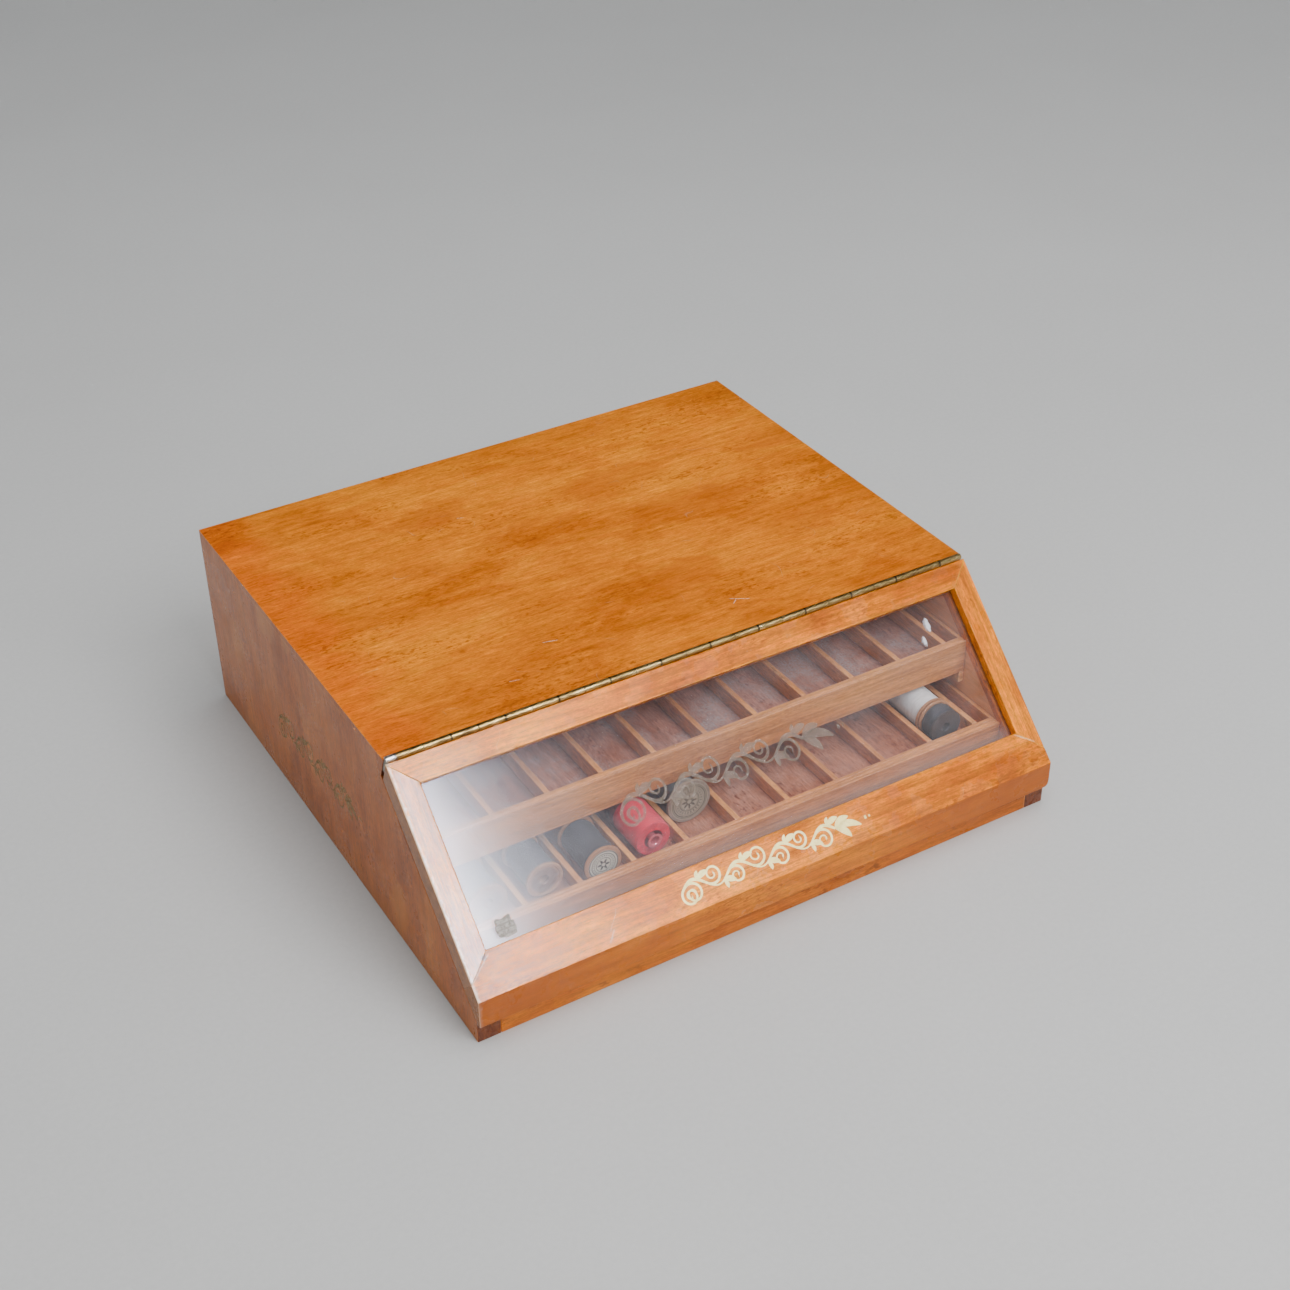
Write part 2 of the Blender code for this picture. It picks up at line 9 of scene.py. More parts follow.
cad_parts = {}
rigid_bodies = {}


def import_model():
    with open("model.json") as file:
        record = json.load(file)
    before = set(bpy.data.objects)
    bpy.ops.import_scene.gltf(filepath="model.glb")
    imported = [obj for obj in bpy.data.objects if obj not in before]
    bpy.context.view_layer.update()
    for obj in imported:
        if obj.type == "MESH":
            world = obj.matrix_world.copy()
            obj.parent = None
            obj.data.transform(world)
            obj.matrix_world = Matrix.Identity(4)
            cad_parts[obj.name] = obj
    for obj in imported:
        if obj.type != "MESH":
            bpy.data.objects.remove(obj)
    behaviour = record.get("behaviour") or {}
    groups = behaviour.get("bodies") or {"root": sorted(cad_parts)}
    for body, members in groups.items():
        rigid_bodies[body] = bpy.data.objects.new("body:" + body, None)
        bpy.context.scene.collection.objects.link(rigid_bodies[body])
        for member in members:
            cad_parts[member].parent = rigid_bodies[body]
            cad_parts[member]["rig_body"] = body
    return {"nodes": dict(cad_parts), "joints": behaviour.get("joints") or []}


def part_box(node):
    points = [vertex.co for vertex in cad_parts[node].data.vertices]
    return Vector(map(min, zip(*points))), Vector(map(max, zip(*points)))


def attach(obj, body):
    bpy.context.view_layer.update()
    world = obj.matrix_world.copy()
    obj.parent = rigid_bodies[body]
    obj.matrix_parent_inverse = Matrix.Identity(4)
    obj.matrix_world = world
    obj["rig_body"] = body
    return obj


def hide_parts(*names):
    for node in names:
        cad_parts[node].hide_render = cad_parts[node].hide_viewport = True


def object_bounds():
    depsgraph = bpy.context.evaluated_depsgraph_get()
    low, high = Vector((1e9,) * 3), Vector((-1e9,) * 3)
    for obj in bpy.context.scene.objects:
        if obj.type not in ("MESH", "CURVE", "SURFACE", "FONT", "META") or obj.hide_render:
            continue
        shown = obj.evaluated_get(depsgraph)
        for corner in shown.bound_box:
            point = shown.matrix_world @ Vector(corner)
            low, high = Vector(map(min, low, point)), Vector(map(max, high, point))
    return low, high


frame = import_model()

cad_low, cad_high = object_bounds()

MM = 0.001

# Directions of the object. The lid slopes down towards the front.
SLOPE = math.radians(44.5)
RIGHT = Vector((1, 0, 0))
BACK = Vector((0, 1, 0))
UP = Vector((0, 0, 1))
UP_SLOPE = Vector((0, math.cos(SLOPE), math.sin(SLOPE)))
LID_OUT = Vector((0, -math.sin(SLOPE), math.cos(SLOPE)))

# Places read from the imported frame.
LEFT_X = cad_low.x
RIGHT_X = cad_high.x
FRONT_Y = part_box("left_side_panel")[0].y
ARRIS_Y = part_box("lid_bottom_rail")[0].y
HINGE_AXIS = Vector(next(j for j in frame["joints"] if j["name"] == "lid_hinge")["pos_m"])

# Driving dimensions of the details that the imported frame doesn't hold.
ARRIS_HEIGHT = 41.7 * MM
PANE_DEPTH = 8.0 * MM
BARREL_RADIUS = 2.5 * MM
BORE_RADIUS = 1.25 * MM
KNUCKLE_PITCH = 42.5  # of the knuckle pairs, in millimetres
SCREWS_PER_LEAF = 9
SCREW_RADIUS = 2.6 * MM
SPOOL_BORE = 3.4 * MM
TOP_HEIGHT = 165  # of the marks on the top, in millimetres
DECAL_LIFT = 0.01  # of a decal above its surface, in millimetres

# The camera stands in front of the left corner and looks down at the box.
CAMERA_PLACE = Vector((-0.63207, -1.11802, 0.98675))
CAMERA_FORWARD = Vector((0.41804, 0.70942, -0.56743))
CAMERA_RIGHT = Vector((0.85759, -0.51421, -0.01108))
CAMERA_LENS = 54.65

# Linear colours of the finishes.
TOP_TONE = (0.58, 0.150, 0.0010)
SIDE_TONE = (0.48, 0.130, 0.021)
LID_TONE = (0.74, 0.196, 0.0008)
FRONT_TONE = (0.50, 0.120, 0.0035)
TRAY_TONE = (0.70, 0.27, 0.080)
DIVIDER_TONE = (0.74, 0.290, 0.085)
FLOOR_TONE = (0.44, 0.165, 0.105)
# Painted light: the inner wood is made lighter than its own colour, to stand in for light on the
# inner walls.
INNER_LIT_TONE = (0.92, 0.42, 0.150)
BARE_TONE = (0.52, 0.24, 0.10)
PALE_WOOD = (0.80, 0.56, 0.34)
# Pale cream of worn varnish; along the lid's left arris it is also a painted highlight.
WORN_CREAM_AND_HIGHLIGHT = (0.95, 0.86, 0.74)
# Near-black stain for nicks; along the lid's upper end it is a painted shadow.
DARK_STAIN_AND_SHADE = (0.045, 0.012, 0.004)
GOLD = (0.96, 0.82, 0.34)


def case_place(x, y, z):
    """A point from its distances in millimetres to the left face, the front and the ground."""
    return Vector((LEFT_X + x * MM, FRONT_Y + y * MM, z * MM))


def lid_place(x, s, out=0.0):
    """A point of the lid: x from the left face, s up the slope and out above its face, in mm."""
    arris = Vector((LEFT_X, ARRIS_Y, ARRIS_HEIGHT))
    return arris + (x * RIGHT + s * UP_SLOPE + out * LID_OUT) * MM


# ---------------------------------------------------------------- materials


class Paint:
    """One node material, built up step by step in the object's own coordinates."""

    def __init__(self, name):
        self.material = bpy.data.materials.new(name)
        self.material.use_nodes = True
        self.tree = self.material.node_tree
        self.shader = self.tree.nodes["Principled BSDF"]
        self.place = self.add("ShaderNodeTexCoord").outputs["Object"]
        self.normal = self.add("ShaderNodeNewGeometry").outputs["Normal"]

    def add(self, kind, **settings):
        node = self.tree.nodes.new(kind)
        for key, value in settings.items():
            setattr(node, key, value)
        return node

    def feed(self, socket, value):
        if isinstance(value, bpy.types.NodeSocket):
            self.tree.links.new(value, socket)
        else:
            socket.default_value = value

    def math(self, operation, a, b=0.0, c=0.0):
        node = self.add("ShaderNodeMath", operation=operation)
        for socket, value in zip(node.inputs, (a, b, c)):
            self.feed(socket, value)
        return node.outputs[0]

    def times(self, *values):
        result = values[0]
        for value in values[1:]:
            result = self.math("MULTIPLY", result, value)
        return result

    def vector(self, operation, a, b=(0, 0, 0), out="Vector"):
        node = self.add("ShaderNodeVectorMath", operation=operation)
        self.feed(node.inputs[0], a)
        self.feed(node.inputs[1], b)
        return node.outputs[out]

    def dot(self, vector, axis):
        return self.vector("DOT_PRODUCT", vector, axis, "Value")

    def run(self, axis):
        """How far along the axis the shaded point lies."""
        return self.dot(self.place, axis)

    def facing(self, axis, low, high):
        """0 to 1 as the surface turns towards the axis."""
        return self.span(self.dot(self.normal, axis), low, high)

    def apart(self, a, b):
        return self.math("ABSOLUTE", self.math("SUBTRACT", a, b))

    def from_left(self):
        """The distance from the box's left face."""
        return self.math("SUBTRACT", self.run(RIGHT), LEFT_X)

    def length(self, vector):
        return self.vector("LENGTH", vector, out="Value")

    def scaled(self, vector, scale):
        return self.vector("MULTIPLY", vector, scale)

    def combine(self, x, y, z=0.0):
        node = self.add("ShaderNodeCombineXYZ")
        for socket, value in zip(node.inputs, (x, y, z)):
            self.feed(socket, value)
        return node.outputs[0]

    def noise(self, vector, scale, detail=3.0, roughness=0.55, distortion=0.0):
        node = self.add("ShaderNodeTexNoise")
        self.feed(node.inputs["Vector"], vector)
        sockets = ("Scale", "Detail", "Roughness", "Distortion")
        for name, value in zip(sockets, (scale, detail, roughness, distortion)):
            self.feed(node.inputs[name], value)
        return node.outputs["Fac"]

    def drawn(self, stretch, *shape):
        """Noise that is drawn out along the axes whose stretch is small."""
        return self.noise(self.scaled(self.place, stretch), *shape)

    def span(self, value, low, high, to_low=0.0, to_high=1.0):
        node = self.add("ShaderNodeMapRange", clamp=True)
        for socket, number in zip(node.inputs, (value, low, high, to_low, to_high)):
            self.feed(socket, number)
        return node.outputs[0]

    def ramp(self, value, stops):
        node = self.add("ShaderNodeValToRGB")
        band = node.color_ramp
        while len(band.elements) < len(stops):
            band.elements.new(0.5)
        for element, (position, colour) in zip(band.elements, stops):
            element.position = position
            element.color = (*colour, 1)
        self.feed(node.inputs["Fac"], value)
        return node.outputs["Color"]

    def mix(self, factor, a, b, blend="MIX"):
        node = self.add("ShaderNodeMix", data_type="RGBA", blend_type=blend)
        self.feed(node.inputs[0], factor)
        for socket, colour in ((node.inputs[6], a), (node.inputs[7], b)):
            self.feed(socket, (*colour, 1) if isinstance(colour, tuple) else colour)
        return node.outputs[2]

    def shade(self, colour, value):
        """The colour made lighter or darker by a factor around 1."""
        return self.mix(1.0, colour, self.combine(value, value, value), "MULTIPLY")

    def edge(self, radius):
        """0 on flat stretches, 1 along the arrises."""
        bevel = self.add("ShaderNodeBevel", samples=4)
        self.feed(bevel.inputs["Radius"], radius)
        return self.span(self.dot(bevel.outputs[0], self.normal), 0.99, 0.80)

    def spot(self, point, radius, stretch=(1, 1, 1), ragged=0.5):
        """1 inside a ragged spot round the point, 0 outside."""
        away = self.length(self.scaled(self.vector("SUBTRACT", self.place, point), stretch))
        wobble = self.noise(self.place, 1.2 / radius, 3, 0.6)
        reach = self.math("MULTIPLY_ADD", wobble, 2 * ragged * radius, away)
        return self.span(reach, radius * (1.1 + ragged), radius * (0.7 + ragged))

    def line(self, start, end, width, facing):
        """1 along a thin broken mark from start to end, on a face that looks along facing."""
        way = end - start
        length = way.length
        way = way.normalized()
        away = self.vector("SUBTRACT", self.place, start)
        run = self.dot(away, way)
        swing = min(0.10 * length, 3 * MM)
        wobble = self.noise(self.place, 6 / length, 2)
        off = self.math("MULTIPLY_ADD", wobble, swing, self.dot(away, facing.cross(way)))
        off = self.apart(off, 0.5 * swing)
        inside = self.times(self.span(run, 0, 0.1 * length), self.span(run, length, 0.9 * length))
        broken = self.span(self.noise(self.place, 900, 3, 0.7), 0.36, 0.56, 0.15, 1.0)
        return self.times(self.span(off, width, 0.3 * width), inside, broken)

    def bump(self, height, distance, strength=1.0):
        node = self.add("ShaderNodeBump")
        self.feed(node.inputs["Height"], height)
        self.feed(node.inputs["Distance"], distance)
        self.feed(node.inputs["Strength"], strength)
        return node.outputs[0]

    def cover(self, factor):
        """Lets what lies beneath show through by 1 - factor."""
        clear = self.add("ShaderNodeBsdfTransparent")
        blend = self.add("ShaderNodeMixShader")
        self.feed(blend.inputs[0], factor)
        self.tree.links.new(clear.outputs[0], blend.inputs[1])
        self.tree.links.new(self.shader.outputs[0], blend.inputs[2])
        self.surface(blend.outputs[0])

    def surface(self, shader):
        self.tree.links.new(shader, self.tree.nodes["Material Output"].inputs["Surface"])

    def finish(self, **sockets):
        """Feeds the shader. An underscore in a name stands for a space."""
        for name, value in sockets.items():
            if isinstance(value, tuple) and len(value) == 3:
                value = (*value, 1)
            self.feed(self.shader.inputs[name.replace("_", " ")], value)
        return self.material


def varied(tone, factors):
    return tuple(min(1.0, part * factor) for part, factor in zip(tone, factors))


def wood(name, along, across, tone, gloss=0.5, figure=1.0, worn=0.5, tweak=None, lines=0.0):
    """Varnished wood: clouds, flames, pores, strings of specks, hair scratches, worn arrises.

    gloss, figure, worn and lines set the varnish's shine and the strength of the figure, of the
    rubbed arrises and of the year lines. tweak adds what only this piece has.
    """
    paint = Paint(name)
    space = paint.combine(*(paint.run(axis) for axis in (along, across, along.cross(across))))

    def grain(stretch, *shape):
        return paint.noise(paint.scaled(space, (stretch, 1, 1)), *shape)

    clouds = grain(0.55, 8, 5, 0.62, 0.6)
    flames = grain(0.45, 42, 5, 0.65, 1.0)
    streaks = grain(0.07, 260, 4, 0.65, 0.3)
    pores = grain(0.12, 1300, 2, 0.6)
    peel = grain(0.5, 850, 3, 0.7)
    year = paint.math("PINGPONG", paint.times(grain(0.035, 75, 3, 0.55, 0.4), 14), 1.0)
    dashes = grain(0.16, 620, 3, 0.6)
    blend = paint.math("MULTIPLY_ADD", clouds, 0.6, paint.times(flames, 0.4))
    depth = 0.5 * figure
    dark = varied(tone, (1 - 0.55 * depth, 1 - 0.75 * depth, 1 - 0.9 * depth))
    light = varied(tone, (1 + 0.35 * depth, 1 + 0.70 * depth, 1 + 1.1 * depth))
    colour = paint.ramp(paint.span(blend, 0.38, 0.62), [(0.0, dark), (0.5, tone), (1.0, light)])
    for layer, low, high, darkest, lightest in (
        (streaks, 0.3, 0.7, 1 - 0.22 * figure, 1 + 0.18 * figure),
        (pores, 0.3, 0.65, 0.74, 1.10),
        (peel, 0.3, 0.7, 1 - 0.16 * figure, 1 + 0.14 * figure),
        (year, 0.0, 0.55, 1 - 0.30 * lines, 1 + 0.05 * lines),
        (dashes, 0.28, 0.44, 1 - 0.30 * figure, 1.0),
    ):
        colour = paint.shade(colour, paint.span(layer, low, high, darkest, lightest))
    string = paint.span(grain(0.22, 38, 2), 0.50, 0.62)
    crumbs = paint.times(paint.span(grain(0.45, 420, 3, 0.6), 0.53, 0.64), string, 0.62 * figure)
    colour = paint.mix(crumbs, colour, varied(tone, (0.30, 0.2, 0.2)))
    colour = paint.mix(hair_scratches(paint, space), colour, PALE_WOOD)
    broken = paint.span(paint.noise(space, 160, 4, 0.75), 0.40, 0.62)
    wear = paint.times(paint.edge(1.4 * MM), broken, worn)
    colour = paint.mix(wear, colour, varied(light, (1.3, 1.9, 6)))
    if tweak:
        colour = tweak(paint, colour)
    smooth = 0.45 - 0.4 * gloss
    rough = paint.span(paint.noise(space, 30, 4, 0.6), 0.35, 0.7, smooth, smooth + 0.12)
    height = paint.math("MULTIPLY_ADD", pores, 0.4, paint.times(streaks, 0.8))
    height = paint.math("MULTIPLY_ADD", peel, 0.5 * lines, height)
    return paint.finish(
        Base_Color=colour,
        Roughness=paint.math("MULTIPLY_ADD", wear, 0.2, rough),
        Normal=paint.bump(height, 0.25 * MM, 0.5),
        Specular_IOR_Level=0.12 + 0.5 * gloss * gloss,
    )


def hair_scratches(paint, space):
    """Faint long scratches that run aslant to the grain, where the wood was handled."""
    drawn = paint.dot(space, Vector((0.9, 0.42, 0)))
    skew = paint.dot(space, Vector((-0.42, 0.9, 0)))
    hairs = paint.noise(paint.combine(paint.times(drawn, 0.12), skew, drawn), 26, 1, 0.4, 0.2)
    hairs = paint.span(paint.apart(hairs, 0.5), 0.0035, 0.0012)
    return paint.times(hairs, paint.span(paint.noise(space, 31, 2), 0.60, 0.66), 0.16)


def age_top(paint, colour):
    """Darker stain along the left arris, burred patches, painted shade towards the back and right
    edges, and pale scratches.
    """
    ragged = paint.drawn((0.5, 1, 1), 26, 4, 0.65)
    rim = paint.math("MULTIPLY_ADD", ragged, 70 * MM, paint.from_left())
    rim = paint.span(rim, 92 * MM, 56 * MM, 0.0, 0.85)
    colour = paint.mix(rim, colour, (0.96, 0.70, 0.15), "MULTIPLY")
    # Painted shade: the top is darkened towards its back edge and towards its right edge, where
    # less light falls on it.
    from_back = paint.math("SUBTRACT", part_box("top_panel")[1].y, paint.run(BACK))
    colour = paint.shade(colour, paint.span(from_back, 0, 60 * MM, 0.86, 1.0))
    from_right = paint.math("SUBTRACT", RIGHT_X, paint.run(RIGHT))
    colour = paint.shade(colour, paint.span(from_right, 0, 40 * MM, 0.88, 1.0))
    for x, y, radius in (
        (358, 300, 26), (395, 305, 18), (323, 371, 24), (169, 399, 20), (469, 362, 16),
        (230, 330, 22), (300, 215, 20), (420, 230, 18),
    ):
        patch = paint.spot(case_place(x, y, TOP_HEIGHT), radius * MM, (0.45, 1, 1), 0.9)
        colour = paint.mix(paint.times(patch, 0.34), colour, (0.34, 0.066, 0.002))
    for start, end in (
        ((310, 166), (324, 157)), ((309, 158), (314, 162)), ((186, 384), (192, 382)),
        ((116, 158), (124, 156)), ((160, 189), (172, 186)),
    ):
        start, end = case_place(*start, TOP_HEIGHT), case_place(*end, TOP_HEIGHT)
        mark = paint.line(start, end, 0.45 * MM, UP)
        colour = paint.mix(paint.times(mark, 0.45), colour, WORN_CREAM_AND_HIGHLIGHT)
    return colour


def age_side(outward):
    """Stained outside with orange patches, plain inside, dark end grain at the front."""
    def tweak(paint, colour):
        low_band = paint.span(paint.run(UP), 20 * MM, 5 * MM, 0, 0.4)
        colour = paint.mix(low_band, colour, (0.45, 0.14, 0.02))
        for y, z, radius in (
            (335, 158, 13), (350, 150, 9), (300, 160, 8), (120, 30, 16), (420, 90, 14),
        ):
            spot = paint.spot(case_place(0, y, z), radius * MM, (1, 1, 0.6), 0.9)
            colour = paint.mix(paint.times(spot, 0.5), colour, (0.55, 0.19, 0.03))
        start, end = case_place(0, 175, 158.5), case_place(0, 440, 159.5)
        scratch = paint.line(start, end, 0.35 * MM, -RIGHT)
        colour = paint.mix(paint.times(scratch, 0.35), colour, PALE_WOOD)
        grain = paint.drawn((1, 0.1, 1), 300, 4, 0.6)
        # The inner faces, in the inner wood tone that is lightened as painted light.
        bare = paint.shade(INNER_LIT_TONE, paint.span(grain, 0.3, 0.7, 0.8, 1.15))
        colour = paint.mix(paint.facing(-outward * RIGHT, 0.3, 0.7), colour, bare)
        rings = paint.drawn((1, 1, 0.3), 500, 4, 0.7)
        burnt = paint.ramp(rings, [(0.35, (0.075, 0.016, 0.005)), (0.65, (0.20, 0.055, 0.016))])
        return paint.mix(paint.facing(-BACK, 0.6, 0.9), colour, burnt)
    return tweak


def age_lid(paint, colour):
    """Rubbed left arris with a painted highlight, left end faces partly in painted shade, nicks
    round the mitres, a painted shadow line along the upper end, painted shade on the nose's front,
    dents along the front arris.
    """
    from_left = paint.from_left()
    # A worn pale strip along the left outer arris, made brighter as a painted highlight.
    rub_and_highlight = paint.math("MULTIPLY_ADD", paint.noise(paint.place, 210, 4, 0.7), 5 * MM, from_left)
    rub_and_highlight = paint.span(rub_and_highlight, 5.2 * MM, 3.2 * MM)
    colour = paint.mix(paint.times(rub_and_highlight, paint.facing(-RIGHT, 0.93, 0.55), 0.62), colour, WORN_CREAM_AND_HIGHLIGHT)
    # The lid's left end faces are painted dark: partly the colour of their bare end grain, partly
    # painted shade.
    outer = paint.times(paint.span(from_left, 3 * MM, 2 * MM), paint.facing(-RIGHT, 0.80, 0.97))
    grime = paint.noise(paint.place, 140, 4, 0.7)
    bare = paint.ramp(grime, [(0.35, (0.24, 0.078, 0.016)), (0.7, (0.44, 0.155, 0.036))])
    colour = paint.mix(outer, colour, bare)
    for x, s, radius, strength in ((15.4, 27, 2.4, 0.85), (6, 16, 1.6, 0.5), (487, 21, 1.5, 0.4)):
        nick = paint.spot(lid_place(x, s), radius * MM, (1, 1, 1), 0.7)
        colour = paint.mix(paint.times(nick, strength), colour, DARK_STAIN_AND_SHADE)
    for start, end, width in (
        ((20, 29), (1, 13.5), 0.7), ((104, 3), (111, 11), 0.9), ((107, 10), (118, 24), 0.4),
        ((478, 31), (494, 20), 0.7), ((473, 60), (475, 90), 0.4),
    ):
        mark = paint.line(lid_place(*start), lid_place(*end), width * MM, LID_OUT)
        colour = paint.mix(paint.times(mark, 0.45), colour, WORN_CREAM_AND_HIGHLIGHT)
    # Painted shadow: a dark line along the lid's upper end, below the hinge barrel.
    lid_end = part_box("lid_top_rail")[1].dot(UP_SLOPE)
    climb = paint.math("SUBTRACT", paint.run(UP_SLOPE), lid_end)
    colour = paint.mix(paint.span(climb, -2.6 * MM, -1.6 * MM, 0, 0.8), colour, DARK_STAIN_AND_SHADE)
    # Painted shade on the front face of the nose, stronger towards its ends.
    from_middle = paint.math("ABSOLUTE", paint.run(RIGHT))
    nose = paint.times(
        paint.facing(-BACK, 0.80, 0.97), paint.span(from_middle, 30 * MM, 200 * MM, 0.35, 0.85),
    )
    colour = paint.mix(nose, colour, varied(LID_TONE, (0.45, 0.36, 0.3)))
    dents = paint.span(paint.noise(paint.place, 75, 3, 0.7), 0.67, 0.72, 0, 0.4)
    return paint.mix(dents, colour, varied(LID_TONE, (0.55, 0.4, 0.4)))


def age_front(paint, colour):
    """Knots and spills on the front board, and painted shade along its top, below the lid's nose.
    """
    knots = paint.drawn((0.5, 1, 1), 95, 3, 0.7)
    colour = paint.mix(paint.span(knots, 0.62, 0.70, 0, 0.7), colour, (0.10, 0.025, 0.004))
    # Painted shade along the board's top, below the lid's nose.
    under = paint.span(paint.run(UP), 11 * MM, 18 * MM, 0, 0.6)
    return paint.mix(under, colour, (0.16, 0.035, 0.004))


def age_tray_front(paint, colour):
    """Lines of dirt along the board."""
    lines = paint.drawn((0.02, 1, 1), 420, 2, 0.6)
    return paint.shade(colour, paint.span(lines, 0.35, 0.65, 0.86, 1.10))


def lint_on_floor(paint, colour):
    """Grey fluff pressed into the bare floor."""
    fluff = paint.noise(paint.place, 650, 3, 0.85)
    felt = paint.span(paint.noise(paint.place, 26, 3, 0.6), 0.44, 0.60)
    hairs = paint.drawn((1, 0.4, 1), 300, 4, 0.8, 2.5)
    hairs = paint.span(paint.apart(hairs, 0.5), 0.03, 0.01, 0, 0.5)
    felt = paint.times(felt, paint.math("ADD", paint.span(fluff, 0.40, 0.60), hairs), 0.62)
    return paint.mix(felt, colour, (0.42, 0.38, 0.39))


def old_brass():
    """Unlacquered brass: bright where it is rubbed, brown and green-black in the hollows."""
    paint = Paint("old_brass")
    tarnish = paint.drawn((0.5, 1, 1), 170, 4, 0.65, 0.5)
    rubbed = paint.drawn((0.12, 1, 1), 900, 3, 0.6)
    colour = paint.ramp(
        paint.span(tarnish, 0.32, 0.68),
        [(0.0, (0.13, 0.080, 0.028)), (0.5, (0.30, 0.20, 0.065)), (1.0, (0.62, 0.46, 0.20))],
    )
    colour = paint.shade(colour, paint.span(rubbed, 0.3, 0.7, 0.8, 1.12))
    from_left = paint.from_left()
    reach = paint.scaled(paint.vector("SUBTRACT", paint.place, HINGE_AXIS), (0, 1, 1))
    on_barrel = paint.span(paint.length(reach), 3.0 * MM, 2.7 * MM)
    for first, width, strength in ((7.65, 1.0, 0.95), (28.9, 0.5, 0.55)):
        pitch = KNUCKLE_PITCH * MM
        turns = paint.math("MULTIPLY_ADD", from_left, 1 / pitch, 0.5 - first / KNUCKLE_PITCH)
        off = paint.apart(paint.math("FRACT", turns), 0.5)
        dark = width / KNUCKLE_PITCH
        joint = paint.span(off, dark, 0.6 * dark, 0, strength)
        colour = paint.mix(paint.times(joint, on_barrel), colour, (0.02, 0.013, 0.008))
    plated = paint.span(from_left, 9 * MM, 6.5 * MM, 0, 0.8)
    colour = paint.mix(plated, colour, (0.50, 0.49, 0.46))
    rough = paint.span(tarnish, 0.3, 0.7, 0.46, 0.27)
    normal = paint.bump(rubbed, 0.05 * MM, 0.4)
    return paint.finish(Base_Color=colour, Metallic=0.92, Roughness=rough, Normal=normal)


def pin_steel():
    """The hinge pin's drawn wire."""
    paint = Paint("pin_steel")
    lines = paint.drawn((0.05, 1, 1), 2500, 2)
    colour = paint.ramp(lines, [(0.3, (0.12, 0.11, 0.10)), (0.7, (0.40, 0.38, 0.34))])
    rough = paint.span(lines, 0.3, 0.7, 0.45, 0.3)
    return paint.finish(Base_Color=colour, Metallic=1.0, Roughness=rough)


def screw_brass():
    """Slotted screw heads, darker than the leaves."""
    paint = Paint("screw_brass")
    grime = paint.noise(paint.place, 700, 3, 0.6)
    colour = paint.ramp(grime, [(0.3, (0.10, 0.07, 0.03)), (0.7, (0.42, 0.31, 0.13))])
    rough = paint.span(grime, 0.3, 0.7, 0.5, 0.3)
    return paint.finish(Base_Color=colour, Metallic=0.9, Roughness=rough)


def pane_glass():
    """Clear pane with a thin film of dust, wiped smears, and two small bright flecks."""
    paint = Paint("pane_glass")
    smears = paint.drawn((0.5, 1, 1), 22, 4, 0.6, 1.2)
    wiped = paint.drawn((0.15, 1, 1), 260, 3, 0.6, 0.5)
    specks = paint.span(paint.noise(paint.place, 900, 2), 0.72, 0.76, 0, 0.2)
    film = paint.span(smears, 0.35, 0.7, 0.014, 0.040)
    film = paint.math("ADD", film, paint.times(paint.span(wiped, 0.5, 0.8), 0.02))
    film = paint.math("ADD", film, specks)
    above, below = (lid_place(0, s).dot(UP_SLOPE) for s in (46, 31))
    film = paint.math("ADD", film, paint.span(paint.run(UP_SLOPE), above, below, 0, 0.05))
    # Two small bright flecks near the upper right of the pane.
    for x, s, radius, stretch in ((450, 135, 2.0, 0.35), (442, 124, 1.6, 0.4)):
        bright_fleck = paint.spot(lid_place(x, s, -PANE_DEPTH / MM), radius * MM, (1, stretch, stretch))
        film = paint.math("ADD", film, paint.times(bright_fleck, 0.7))
    rough = paint.span(smears, 0.35, 0.7, 0.03, 0.09)
    clear = paint.add("ShaderNodeBsdfTransparent")
    clear.inputs["Color"].default_value = (0.975, 0.98, 0.985, 1)
    gloss = paint.add("ShaderNodeBsdfGlossy")
    paint.feed(gloss.inputs["Roughness"], rough)
    dust = paint.add("ShaderNodeBsdfDiffuse")
    dust.inputs["Color"].default_value = (0.78, 0.78, 0.84, 1)
    fresnel = paint.add("ShaderNodeFresnel")
    behind = paint.add("ShaderNodeNewGeometry").outputs["Backfacing"]
    paint.feed(fresnel.inputs["IOR"], paint.span(behind, 0, 1, 1.5, 1 / 1.5))
    sheet = paint.add("ShaderNodeMixShader")
    dusty = paint.add("ShaderNodeMixShader")
    for target, factor, first, second in (
        (sheet, fresnel.outputs[0], clear, gloss), (dusty, film, sheet, dust),
    ):
        paint.feed(target.inputs[0], factor)
        paint.tree.links.new(first.outputs[0], target.inputs[1])
        paint.tree.links.new(second.outputs[0], target.inputs[2])
    paint.surface(dusty.outputs[0])
    return paint.material


def thread(name, colour, sheen=0.15, dull=0.5):
    """Thread wound side by side: fine rings round the spool's axis, each a little uneven."""
    paint = Paint(name)
    wobble = paint.times(paint.noise(paint.place, 120, 2), 1.2 * MM)
    run = paint.math("ADD", paint.run(BACK), wobble)
    ring = paint.math("SINE", paint.times(run, 2 * math.pi / (0.45 * MM)))
    band = paint.drawn((0.2, 1, 0.2), 500, 3, 0.7)
    band = paint.span(band, 0.3, 0.7, -0.14, 0.14)
    lightness = paint.math("ADD", paint.span(ring, -1, 1, 0.74, 1.04), band)
    fluff = paint.span(paint.noise(paint.place, 800, 3, 0.8), 0.62, 0.72, 0, 0.12)
    return paint.finish(
        Base_Color=paint.mix(fluff, paint.shade(colour, lightness), (0.55, 0.55, 0.58)),
        Roughness=dull,
        Sheen_Weight=sheen,
        Normal=paint.bump(ring, 0.15 * MM, 0.7),
    )


